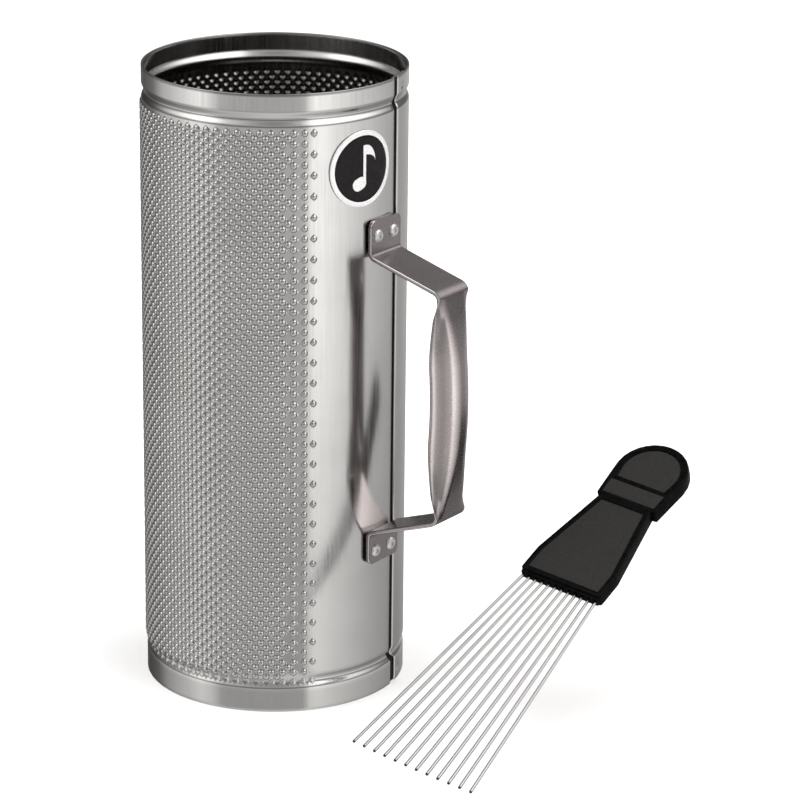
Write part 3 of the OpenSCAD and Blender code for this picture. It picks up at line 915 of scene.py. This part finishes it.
def build_handle():
    path = strap_path()
    rings = []
    for i, p in enumerate(path):
        a, b = path[max(i - 1, 0)], path[min(i + 1, len(path) - 1)]
        along = (b - a) / np.linalg.norm(b - a)
        section = strap_section(fold_of(p), end_share(p[1]))
        x = p[0] + along[1] * section[:, 1]
        z = p[1] - along[0] * section[:, 1]
        rings.append(np.stack([x, section[:, 0], z], axis=1))
    rings = np.array(rings)
    turn = Matrix.Rotation(math.radians(HANDLE_DEG - 90), 4, "Z")
    points, faces = loft(moved(rings.reshape(-1, 3), turn).reshape(rings.shape))
    quads = faces[0].reshape(len(path) - 1, -1, 4)
    across = quads.shape[1]
    to_edge = len(half_section(0, 0, 1)[0]) - 1
    worn = np.zeros(across, bool)
    for first in (to_edge, across - to_edge - 3):
        worn[first:first + 3] = True
    face_sets = [quads[:, ~worn].reshape(-1, 4), quads[:, worn].reshape(-1, 4), *faces[1:]]
    mesh = new_mesh("strap_handle", points, face_sets, (0, 1, 0, 0))
    step = np.arange(to_edge)
    # painted highlights along the crease and lip rolls, and painted light over the strap's inner side
    rolls = np.exp(-((step - ROLL_STEPS[0]) / 3.4) ** 2) + np.exp(-((step - ROLL_STEPS[1]) / 3.4) ** 2)
    outside = np.concatenate([rolls, np.zeros(8 + to_edge)])
    inside = np.concatenate([np.zeros(to_edge + 8), np.full(to_edge, INNER_PAINTED_SHINE)])
    outside, inside = (np.concatenate([half, half[1:-1][::-1]]) for half in (outside, inside))
    share = np.outer([fold_of(p) for p in path], outside) + inside
    keep_share(mesh, "painted_shine", np.clip(share, 0, 1).ravel())
    return mesh


add_piece("strap_handle", build_handle(), "tube", "handle", [GUNMETAL, EDGE_METAL], 50)



# ---- rivets ----------------------------------------------------------------------------------

RIVET_PITCH = 12.2 * MM
RIVET_SEAT = TUBE_R + STRAP_T + 2 * TOUCH
RIVET_R = 1.6 * MM
RIVET_HEAD_R = 3.2 * MM
RIVET_HEAD_H = 1.2 * MM
RIVET_BORE_R = 0.95 * MM
RIVET_TIP = TUBE_R - SHEET_T - 5.5 * MM
RIVET_TAIL = TUBE_R - SHEET_T - 1.1 * MM
MANDREL_R = 0.9 * MM


def turned(profile, segments, closed=False):
    """Points and faces of an outline turned about +Z; a closed outline makes a ring-shaped solid."""
    rings = lathe(profile, segments)
    points, faces = loft(rings, closed_ends=not closed)
    if closed:
        n = segments
        last, first = (len(profile) - 1) * n + np.arange(n), np.arange(n)
        faces.append(np.stack([last, np.roll(last, -1), np.roll(first, -1), first], axis=1))
    return points, faces


def rivet_profile():
    dome = np.radians(np.linspace(0, 90, 9))
    top = [(RIVET_BORE_R + 0.1 * MM + (RIVET_HEAD_R - RIVET_BORE_R - 0.25 * MM) * math.cos(a),
            RIVET_SEAT + 0.25 * MM + (RIVET_HEAD_H - 0.25 * MM) * math.sin(a) ** 0.8) for a in dome]
    return [
        (RIVET_BORE_R, RIVET_TIP), (RIVET_R + 0.4 * MM, RIVET_TIP), (RIVET_R + 0.8 * MM, RIVET_TIP + 1.0 * MM),
        (RIVET_R + 0.9 * MM, RIVET_TIP + 1.8 * MM), (RIVET_R + 0.6 * MM, RIVET_TAIL - 0.4 * MM),
        (RIVET_R, RIVET_TAIL), (RIVET_R, RIVET_SEAT), (RIVET_HEAD_R - 0.1 * MM, RIVET_SEAT),
        (RIVET_HEAD_R, RIVET_SEAT + 0.12 * MM), *top, (RIVET_BORE_R, RIVET_SEAT + RIVET_HEAD_H - 0.2 * MM)]


def mandrel_profile():
    bulb = RIVET_TIP - 0.02 * MM
    return [
        (0.9 * MM, bulb - 1.6 * MM), (1.4 * MM, bulb - 1.45 * MM), (1.7 * MM, bulb - 1.0 * MM), (1.7 * MM, bulb),
        (MANDREL_R, bulb + 0.02 * MM), (MANDREL_R, RIVET_SEAT + 0.35 * MM),
        (MANDREL_R - 0.12 * MM, RIVET_SEAT + 0.5 * MM), (0.4 * MM, RIVET_SEAT + 0.42 * MM)]


def rivet_pair(name, node, profile, closed, material):
    """Two turned pieces side by side across the strap, at the height of their CAD node."""
    z = np.ptp(node_points(node)[:, 2]) / 2 + node_points(node)[:, 2].min()
    parts = []
    for side in (-1, 1):
        points, faces = turned(profile, 40, closed)
        out = Matrix.Rotation(math.radians(HANDLE_DEG - 90), 4, "Z") @ Matrix.Translation(
            (0, side * RIVET_PITCH / 2, z)) @ Matrix.Rotation(math.radians(90), 4, "Y")
        parts.append((moved(points, out), faces))
    add_piece(name, new_mesh(name, *joined(parts)), "tube", node, [material])


for level in ("upper", "lower"):
    rivet_pair(level + "_rivet_heads", level + "_rivets", rivet_profile(), True, RIVET_METAL)
    rivet_pair(level + "_mandrel_stems", level + "_mandrels", mandrel_profile(), False,
               MANDREL_METAL)


# ---- badge -----------------------------------------------------------------------------------

BADGE_DEG = facing_of("badge_tape")
BADGE_Z = sum(corner.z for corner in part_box("badge_plate")) / 2
BADGE_R = (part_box("badge_plate")[1].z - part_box("badge_plate")[0].z) / 2
BORDER_W = 2.3 * MM
PLATE_OUT = TUBE_R + 0.34 * MM + 0.9 * MM
PLATE_T = 0.9 * MM
ENAMEL_DROP = 0.1 * MM
ENAMEL_T = 0.35 * MM


def on_badge(points):
    """Bends flat points round the tube: across the badge, up it and out from its plate's outer face."""
    across, up, out = points.T
    return around(BADGE_DEG + np.degrees(across / PLATE_OUT), PLATE_OUT + out, BADGE_Z + up)


def finer(profile, step):
    """A profile with its long straights cut up."""
    path = [profile[0]]
    for a, b in zip(profile, profile[1:]):
        count = max(1, math.ceil(math.dist(a, b) / step))
        path += [tuple(np.array(a) + (np.array(b) - np.array(a)) * k / count) for k in range(1, count + 1)]
    return path


def quaver_solid(low, high):
    """A quaver as a flat solid: leaning head, stem and curling flag."""
    def prism(outline):
        rings = np.array([[[x, y, z] for x, y in outline] for z in (low, high)])
        points, faces = loft(rings)
        return loose("part", points, faces)

    lean = math.radians(20)
    head = []
    for k in range(40):
        a = 2 * math.pi * k / 40
        x, y = 3 * MM * math.cos(a) + math.copysign(1 * MM, math.cos(a)), 3 * MM * math.sin(a)
        head.append((-2.2 * MM + x * math.cos(lean) - y * math.sin(lean),
                     -7 * MM + x * math.sin(lean) + y * math.cos(lean)))
    stem = [(0, -6.2 * MM), (1.6 * MM, -6.2 * MM), (1.6 * MM, 11.2 * MM), (0, 11.2 * MM)]
    sweep = np.radians(np.arange(0, 90, 8))
    flag = [(0.8 * MM, 6.6 * MM), (1.5 * MM, 6.6 * MM)]
    flag += [(1.6 * MM + 6 * MM * math.sin(a), 6.6 * MM + 3.9 * MM * (math.cos(a) - 1)) for a in sweep[1:]]
    flag += [(1.6 * MM + 6 * MM * math.sin(a), 11.2 * MM + 8.5 * MM * (math.cos(a) - 1)) for a in sweep[::-1]]
    flag += [(0.8 * MM, 11.2 * MM)]
    return boolean(prism(head), [prism(stem), prism(flag)], "UNION")


def sliced(mesh, step):
    """The mesh cut along lines up the badge, so that it can bend round the tube."""
    work = bmesh.new()
    work.from_mesh(mesh)
    reach = max(abs(v.co.x) for v in work.verts)
    for x in np.arange(-reach + step / 2, reach, step):
        bmesh.ops.bisect_plane(work, geom=work.verts[:] + work.edges[:] + work.faces[:],
                               plane_co=(x, 0, 0), plane_no=(1, 0, 0))
    work.to_mesh(mesh)
    work.free()
    return mesh


def bend_on(mesh):
    points = np.array([v.co for v in mesh.vertices])
    mesh.vertices.foreach_set("co", on_badge(points).astype(np.float32).ravel())
    mesh.update()


def build_badge():
    inner = BADGE_R - BORDER_W
    floor = -ENAMEL_DROP - ENAMEL_T - TOUCH
    plate = [
        (0.3 * MM, -PLATE_T), (BADGE_R - 0.1 * MM, -PLATE_T), (BADGE_R, -PLATE_T + 0.1 * MM),
        (BADGE_R, -0.22 * MM), (BADGE_R - 0.07 * MM, -0.07 * MM), (BADGE_R - 0.22 * MM, 0),
        (BADGE_R - 0.62 * MM, 0), (BADGE_R - 0.68 * MM, -0.12 * MM), (BADGE_R - 0.92 * MM, -0.12 * MM),
        (BADGE_R - 0.98 * MM, 0), (inner + 0.1 * MM, 0), (inner, -0.1 * MM), (inner, floor), (0.3 * MM, floor)]
    points, faces = turned(finer(plate, 1.5 * MM), 120)
    ring = loose("ring", points, faces)
    note = sliced(quaver_solid(floor - 0.05 * MM, 0.0), 1.0 * MM)
    note_object = bpy.data.objects.new("note", note)
    bpy.context.scene.collection.objects.link(note_object)
    bend_on(ring.data)
    bend_on(note)
    mesh = boolean(ring, [note_object], "UNION")
    mesh.materials.clear()
    mesh.polygons.foreach_set("use_smooth", np.ones(len(mesh.polygons), bool))
    add_piece("badge_ring", mesh, "tube", "badge_plate", [SILVER])

    r = inner - TOUCH
    top = -ENAMEL_DROP
    enamel = [(0.3 * MM, top - ENAMEL_T), (r, top - ENAMEL_T), (r, top - 0.06 * MM), (r - 0.1 * MM, top),
              (0.3 * MM, top)]
    points, faces = turned(finer(enamel, 1.5 * MM), 120)
    fill = loose("fill", points, faces)
    bend_on(fill.data)
    cutter_mesh = sliced(quaver_solid(floor - 0.2 * MM, 0.2 * MM), 1.0 * MM)
    cutter = bpy.data.objects.new("cutter", cutter_mesh)
    bpy.context.scene.collection.objects.link(cutter)
    bend_on(cutter_mesh)
    mesh = boolean(fill, [cutter], "DIFFERENCE")
    mesh.materials.clear()
    mesh.polygons.foreach_set("use_smooth", np.ones(len(mesh.polygons), bool))
    add_piece("badge_fill", mesh, "tube", "badge_enamel", [BLACK])


build_badge()
frame["nodes"]["badge_tape"].data.materials.clear()
frame["nodes"]["badge_tape"].data.materials.append(TAPE)


# ---- scraper ---------------------------------------------------------------------------------

TINES = sum(1 for joint in frame["joints"] if joint["name"].startswith("tine_"))
FLEX = {joint["child"]: joint for joint in frame["joints"] if joint["name"].endswith("_flex")}
COMB_OUT = 1.4 * MM
COMB_T = 4.4 * MM
RIM_W = 2.4 * MM
BLADE_W = 45.4 * MM
BLADE_STRAIGHT = 14.7 * MM
NECK_W = 28.6 * MM
NECK_Y = 57.5 * MM
HEAD_W = 33.8 * MM
HEAD_FULL_W = 37.4 * MM
PANEL_DEEP = 0.6 * MM
TINE_R = 0.75 * MM
TINE_CLEAR = 0.07 * MM
SLOT_W = 1.7 * MM


def scraper_place():
    """The scraper's own frame, as the axes of its outermost tines' hinges give it: x across, y up it."""
    first = Vector(FLEX["tine_01"]["axis"])
    last = Vector(FLEX[f"tine_{TINES:02d}"]["axis"])
    across, up = -(first + last).normalized(), (first - last).normalized()
    out = across.cross(up)
    turn = np.array([across, up, out])
    local = node_points("scraper_handle") @ turn.T
    low, high = local.min(axis=0), local.max(axis=0)
    zero = np.array([(low[0] + high[0]) / 2, low[1] + COMB_OUT, (low[2] + high[2]) / 2]) @ turn
    place = Matrix.Translation(zero) @ Matrix([[*row] for row in turn]).transposed().to_4x4()
    return place, high[1] - low[1] - COMB_OUT, high[2] - low[2]


SCRAPER_PLACE, GRIP_LEN, MOULDING_T = scraper_place()


def outline(corners, inset=0.0, steps=7):
    """Closed outline through (x, y, radius) corners, anticlockwise, drawn in by inset, its corners rounded."""
    p = np.array([c[:2] for c in corners])
    drawn, bends = [], []
    for i, b in enumerate(p):
        u = b - p[i - 1]
        v = p[(i + 1) % len(p)] - b
        u, v = u / np.linalg.norm(u), v / np.linalg.norm(v)
        nu, nv = np.array([-u[1], u[0]]), np.array([-v[1], v[0]])
        drawn.append(b + inset * (nu + nv) / (1 + nu @ nv))
        bends.append(np.sign(u[0] * v[1] - u[1] * v[0]))
    points = []
    for i, b in enumerate(drawn):
        radius = max(corners[i][2] - inset * bends[i], 0.15 * MM)
        points += arc_corner(drawn[i - 1], b, drawn[(i + 1) % len(p)], radius, steps)
    return np.array(points)


def two_sided(right):
    """Anticlockwise corners from the right-hand ones, which run from the tine end up."""
    return right + [(-x, y, r) for x, y, r in right[::-1]]


BLADE = two_sided([(BLADE_W / 2, 0, 1.2 * MM), (BLADE_W / 2, BLADE_STRAIGHT, 9 * MM),
                   (NECK_W / 2, NECK_Y + 2 * MM, 1.0 * MM)])
BLADE_PANEL = two_sided([(BLADE_W / 2, 0, 1.2 * MM), (BLADE_W / 2, BLADE_STRAIGHT, 9 * MM),
                         (NECK_W / 2, NECK_Y, 0.5 * MM)])
SHOULDER_Y = GRIP_LEN - HEAD_FULL_W / 2 - 1.5 * MM
HEAD = two_sided([(HEAD_W / 2, NECK_Y, 1.0 * MM), (HEAD_FULL_W / 2, SHOULDER_Y, 12 * MM),
                  (HEAD_FULL_W / 2, GRIP_LEN, HEAD_FULL_W / 2 - 0.2 * MM)])
BAND_LOW, BAND_TOP = NECK_Y + 1.7 * MM, NECK_Y + 11.4 * MM
BAND = two_sided([(HEAD_W / 2 - 1.7 * MM, BAND_LOW, 0.4 * MM), (HEAD_W / 2 - 1.2 * MM, BAND_TOP, 0.4 * MM)])
THUMB = two_sided([(HEAD_W / 2, BAND_TOP - 1.8 * MM, 1.0 * MM),
                   (HEAD_FULL_W / 2, SHOULDER_Y, 12 * MM),
                   (HEAD_FULL_W / 2, GRIP_LEN, HEAD_FULL_W / 2 - 0.2 * MM)])


def rounded_slab(name, corners, thick, edge):
    """A flat moulding with rounded edges."""
    half = thick / 2
    turns = np.radians([90, 60, 30, 0])
    layers = [(edge - edge * math.cos(a), -half + edge - edge * math.sin(a)) for a in turns]
    layers = sorted(set(layers), key=lambda layer: layer[1])
    layers += [(inset, -z) for inset, z in layers[::-1]]
    rings = [np.column_stack([flat, np.full(len(flat), z)])
             for flat, z in ((outline(corners, inset), z) for inset, z in layers)]
    return loose(name, *loft(np.array(rings)))


def recess(corners, inset, deep, thick, face):
    """Cutter for a sunk panel with sloping walls, in the face on the +z (1) or -z (-1) side."""
    half = thick / 2
    layers = [(inset + 0.45 * MM, half - deep), (inset, half), (inset - 0.2 * MM, half + 1 * MM)]
    rings = [np.column_stack([flat, np.full(len(flat), face * z)])
             for flat, z in ((outline(corners, i), z) for i, z in layers)]
    rings = np.array(rings if face > 0 else rings[::-1])
    return loose("recess", *loft(rings))


def slots():
    """Cutter of the tine slots: each opens towards its mouth, so that its tine can spring."""
    parts = []
    for node, joint in FLEX.items():
        pivot, reach, ahead = tine_line(node)
        inner = SCRAPER_PLACE.inverted()
        along = inner.to_3x3() @ ahead
        spot = inner @ pivot
        flex = math.radians(max(joint["range_deg"]))
        low = TINE_R + TINE_CLEAR
        run = 13 * MM
        high = low + run * math.tan(flex) * 1.05
        back = [(low * math.cos(a), low * math.sin(a)) for a in np.radians(np.linspace(90, 270, 9))]
        side_view = [(run, high)] + back + [(run, -high)]
        rings = [[Vector((spot.x, spot.y, 0)) + along * x + Vector((-along.y, along.x, 0)) * side + Vector((0, 0, z))
                  for x, z in side_view] for side in (SLOT_W / 2, -SLOT_W / 2)]
        points, faces = loft(np.array([[list(p) for p in ring] for ring in rings]))
        parts.append((points, faces))
    return loose("slots", *joined(parts))


def tine_line(node):
    """A tine's bending point, the length beyond it and its direction, all in the frame."""
    joint = FLEX[node]
    pivot = Vector(joint["pos_m"])
    out = SCRAPER_PLACE.to_3x3() @ Vector((0, 0, 1))
    ahead = out.cross(Vector(joint["axis"])).normalized()
    reach = max((node_points(node) - np.array(pivot)) @ np.array(ahead))
    return pivot, reach, ahead


def build_moulding():
    blade_t = MOULDING_T - 0.8 * MM
    blade = rounded_slab("blade", BLADE, blade_t, 0.7 * MM)
    head = rounded_slab("head", HEAD, MOULDING_T, 0.9 * MM)
    comb_w = BLADE_W / 2 - 0.8 * MM
    comb = rounded_slab("comb", [(-comb_w, -COMB_OUT, 0.3 * MM), (comb_w, -COMB_OUT, 0.3 * MM),
                                 (comb_w, 2 * MM, 0.3 * MM), (-comb_w, 2 * MM, 0.3 * MM)], COMB_T, 0.25 * MM)
    whole = bpy.data.objects.new("whole", boolean(blade, [head, comb], "UNION"))
    bpy.context.scene.collection.objects.link(whole)
    cutters = []
    for face in (1, -1):
        cutters.append(recess(BLADE_PANEL, RIM_W, PANEL_DEEP, blade_t, face))
        cutters.append(recess(BAND, 0, PANEL_DEEP * 0.7, MOULDING_T, face))
        cutters.append(recess(THUMB, 3.6 * MM, PANEL_DEEP, MOULDING_T, face))
    mesh = boolean(whole, cutters + [slots()], "DIFFERENCE")
    mesh.materials.clear()
    floors = (blade_t / 2 - PANEL_DEEP, MOULDING_T / 2 - PANEL_DEEP * 0.7, MOULDING_T / 2 - PANEL_DEEP)
    for polygon in mesh.polygons:
        flat = abs(polygon.normal.z) > 0.99
        on_floor = any(abs(abs(polygon.center.z) - z) < 0.01 * MM for z in floors)
        polygon.material_index = 1 if flat and on_floor else 0
        polygon.use_smooth = True
    mesh.transform(SCRAPER_PLACE)
    add_piece("scraper_moulding", mesh, "scraper", "scraper_handle", [SATIN, GRAIN], 35)


def build_wire(node):
    pivot, reach, ahead = tine_line(node)
    ball = np.radians(np.linspace(0, 80, 6))
    profile = [(TINE_R * math.sin(a + 0.17), -TINE_R * math.cos(a + 0.17)) for a in ball]
    profile += [(TINE_R, 0.2 * reach), (TINE_R, 0.6 * reach), (TINE_R, reach - 0.9 * MM)]
    profile += [(TINE_R * math.cos(a), reach - TINE_R * (1 - math.sin(a))) for a in ball]
    points, faces = turned(profile, 20)
    place = Matrix.Translation(pivot) @ ahead.to_track_quat("Z", "Y").to_matrix().to_4x4()
    body_faces, tip_faces = faces[0][:8 * 20], faces[0][8 * 20:]
    mesh = new_mesh("wire", moved(points, place), [body_faces, faces[1], tip_faces, faces[2]], (0, 0, 1, 1))
    add_piece(node.replace("tine", "wire"), mesh, node, node, [WIRE_METAL, TIP_METAL])


build_moulding()
for tine_node in sorted(FLEX):
    build_wire(tine_node)


# ---- camera, floor and light -----------------------------------------------------------------

CAMERA_BACK = 26.676 * TUBE_R
CAMERA_UP = 11.183 * TUBE_R
CAMERA_YAW_DEG = 2.0565
CAMERA_DOWN_DEG = 18.6665
CAMERA_ROLL_DEG = 0.6335
CAMERA_LENS = 165.01


def add_camera():
    yaw, down, roll = (math.radians(a) for a in (CAMERA_YAW_DEG, CAMERA_DOWN_DEG, CAMERA_ROLL_DEG))
    ahead = Vector((math.sin(yaw) * math.cos(down), math.cos(yaw) * math.cos(down), -math.sin(down)))
    right = Vector((math.cos(yaw), -math.sin(yaw), 0))
    up = right.cross(ahead)
    side = math.cos(roll) * right + math.sin(roll) * up
    top = math.cos(roll) * up - math.sin(roll) * right
    data = bpy.data.cameras.new("camera")
    data.lens = CAMERA_LENS
    data.clip_start, data.clip_end = 0.1, 30
    camera = bpy.data.objects.new("camera", data)
    bpy.context.scene.collection.objects.link(camera)
    camera.matrix_world = Matrix((
        (side.x, top.x, -ahead.x, 0), (side.y, top.y, -ahead.y, -CAMERA_BACK),
        (side.z, top.z, -ahead.z, CAMERA_UP), (0, 0, 0, 1)))
    bpy.context.scene.camera = camera


def add_floor():
    half = 6.0
    rings = np.array([[[-half, -half, 0], [half, -half, 0], [half, half, 0], [-half, half, 0]]])
    floor = loose("floor", rings[0], [np.array([[0, 1, 2, 3]])])
    n = Nodes("pale_floor")
    grain = n.noise(3, 2)
    n.set(Base_Color=n.mix(grain, (0.93, 0.93, 0.93), (0.95, 0.95, 0.95)), Roughness=0.9)
    n.shader.inputs["Specular IOR Level"].default_value = 0.1
    floor.data.materials.append(n.material)
    floor.visible_glossy = False


# Brightness of the studio just below eye level, by direction from the front towards +X, as the plain
# bands of the tube show it: (degrees, brightness)
STUDIO = (
    (-180, 0.16), (-150, 0.10), (-128, 0.20), (-112, 0.62), (-98, 0.80), (-84, 1.0), (-70, 1.36),
    (-58, 1.12), (-48, 0.62), (-36, 0.60), (20, 0.60), (27, 0.64), (30, 1.5), (40, 1.45), (52, 1.25),
    (64, 1.08), (78, 0.9), (100, 0.7), (120, 0.56), (140, 0.46), (165, 0.5), (180, 0.3))

# The studio by height, from straight down (-1) to straight up (1): the share of the bands above, and an
# even light beside them. The table is pale, the horizon dark and the upper half bright.
HEIGHTS = (
    (-1.0, 0.0, 0.42), (-0.8, 0.1, 0.42), (-0.6, 0.3, 0.32), (-0.48, 0.5, 0.14), (-0.40, 0.68, 0.0),
    (-0.32, 0.95, 0.0), (-0.22, 1.2, 0.0), (-0.1, 0.5, 0.0), (0.0, 0.3, 0.02), (0.16, 0.35, 0.03),
    (0.3, 0.9, 0.04), (0.45, 1.4, 0.08), (0.62, 1.2, 0.3), (0.76, 0.4, 0.9), (1.0, 0.0, 0.9))


def add_studio():
    """Plain soft studio light: pale to the eye, and graded round the object for the metal to reflect."""
    world = bpy.data.worlds.new("studio")
    bpy.context.scene.world = world
    world.use_nodes = True
    tree = world.node_tree
    tree.nodes.clear()
    peak = 2.0                   # brightest level that a ramp is asked for

    def maths(operation, a, b=None):
        node = tree.nodes.new("ShaderNodeMath")
        node.operation = operation
        for socket, value in zip(node.inputs, (a, b)):
            if value is None:
                continue
            if isinstance(value, (int, float)):
                socket.default_value = value
            else:
                tree.links.new(value, socket)
        return node.outputs[0]

    def ramp(place, stops):
        """Grey levels against a place from 0 to 1."""
        node = tree.nodes.new("ShaderNodeValToRGB")
        tree.links.new(place, node.inputs["Fac"])
        elements = node.color_ramp.elements
        elements.remove(elements[-1])
        for number, (at, level) in enumerate(stops):
            stop = elements[0] if number == 0 else elements.new(at)
            stop.position = at
            stop.color = (level / peak, level / peak, level / peak, 1)
        return maths("MULTIPLY", node.outputs["Color"], peak)

    def light(colour, strength):
        node = tree.nodes.new("ShaderNodeBackground")
        node.inputs["Color"].default_value = (*colour, 1)
        if isinstance(strength, (int, float)):
            node.inputs["Strength"].default_value = strength
        else:
            tree.links.new(strength, node.inputs["Strength"])
        return node.outputs[0]

    coords = tree.nodes.new("ShaderNodeTexCoord")
    split = tree.nodes.new("ShaderNodeSeparateXYZ")
    tree.links.new(coords.outputs["Generated"], split.inputs[0])
    azimuth = maths("ARCTAN2", split.outputs["X"], maths("MULTIPLY", split.outputs["Y"], -1.0))
    round_about = maths("ADD", maths("DIVIDE", azimuth, 2 * math.pi), 0.5)
    height = maths("ADD", maths("MULTIPLY", split.outputs["Z"], 0.5), 0.5)
    bands = ramp(round_about, [(degrees / 360 + 0.5, level) for degrees, level in STUDIO])
    share = ramp(height, [(z / 2 + 0.5, part) for z, part, _ in HEIGHTS])
    even = ramp(height, [(z / 2 + 0.5, level) for z, _, level in HEIGHTS])
    above = maths("MULTIPLY", maths("MAXIMUM", split.outputs["Z"], 0.0), 1.1)
    lean = maths("MULTIPLY", maths("MAXIMUM", split.outputs["Z"], 0.0), 0.2)
    sides = maths("SUBTRACT", 1.0, maths("MULTIPLY", maths("COSINE", maths("MULTIPLY", azimuth, 2.0)), above))
    sides = maths("MULTIPLY", sides, maths("ADD", 1.0, maths("MULTIPLY", maths("SINE", azimuth), lean)))
    below = maths("MAXIMUM", maths("MULTIPLY", split.outputs["Z"], -0.6), 0.0)
    front = maths("MULTIPLY", maths("COSINE", azimuth), maths("ADD", below, 0.45))
    front = maths("MAXIMUM", maths("ADD", front, 1.0), 0.0)
    banded = light((1.0, 0.99, 0.975), maths("MULTIPLY", bands, maths("MULTIPLY", share, sides)))
    graded = light((1.0, 0.985, 0.98), maths("MULTIPLY", even, maths("MULTIPLY", sides, front)))
    total = tree.nodes.new("ShaderNodeAddShader")
    tree.links.new(banded, total.inputs[0])
    tree.links.new(graded, total.inputs[1])
    path = tree.nodes.new("ShaderNodeLightPath")
    blend = tree.nodes.new("ShaderNodeMixShader")
    tree.links.new(path.outputs["Is Camera Ray"], blend.inputs["Fac"])
    tree.links.new(total.outputs[0], blend.inputs[1])
    tree.links.new(light((1, 1, 1), 1.0), blend.inputs[2])
    out = tree.nodes.new("ShaderNodeOutputWorld")
    tree.links.new(blend.outputs[0], out.inputs["Surface"])


def add_softbox(name, place, aim, size, watts):
    data = bpy.data.lights.new(name, "AREA")
    data.shape = "RECTANGLE"
    data.size, data.size_y = size
    data.energy = watts
    lamp = bpy.data.objects.new(name, data)
    bpy.context.scene.collection.objects.link(lamp)
    lamp.location = place
    lamp.rotation_mode = "QUATERNION"
    lamp.rotation_quaternion = (Vector(aim) - Vector(place)).to_track_quat("-Z", "Y")
    lamp.visible_camera = False
    lamp.visible_glossy = False


add_camera()
add_floor()
add_studio()
add_softbox("overhead", (0, 0, 2.6), (0, 0, 0), (3.0, 3.0), 60)
bpy.context.scene.view_settings.view_transform = "Standard"
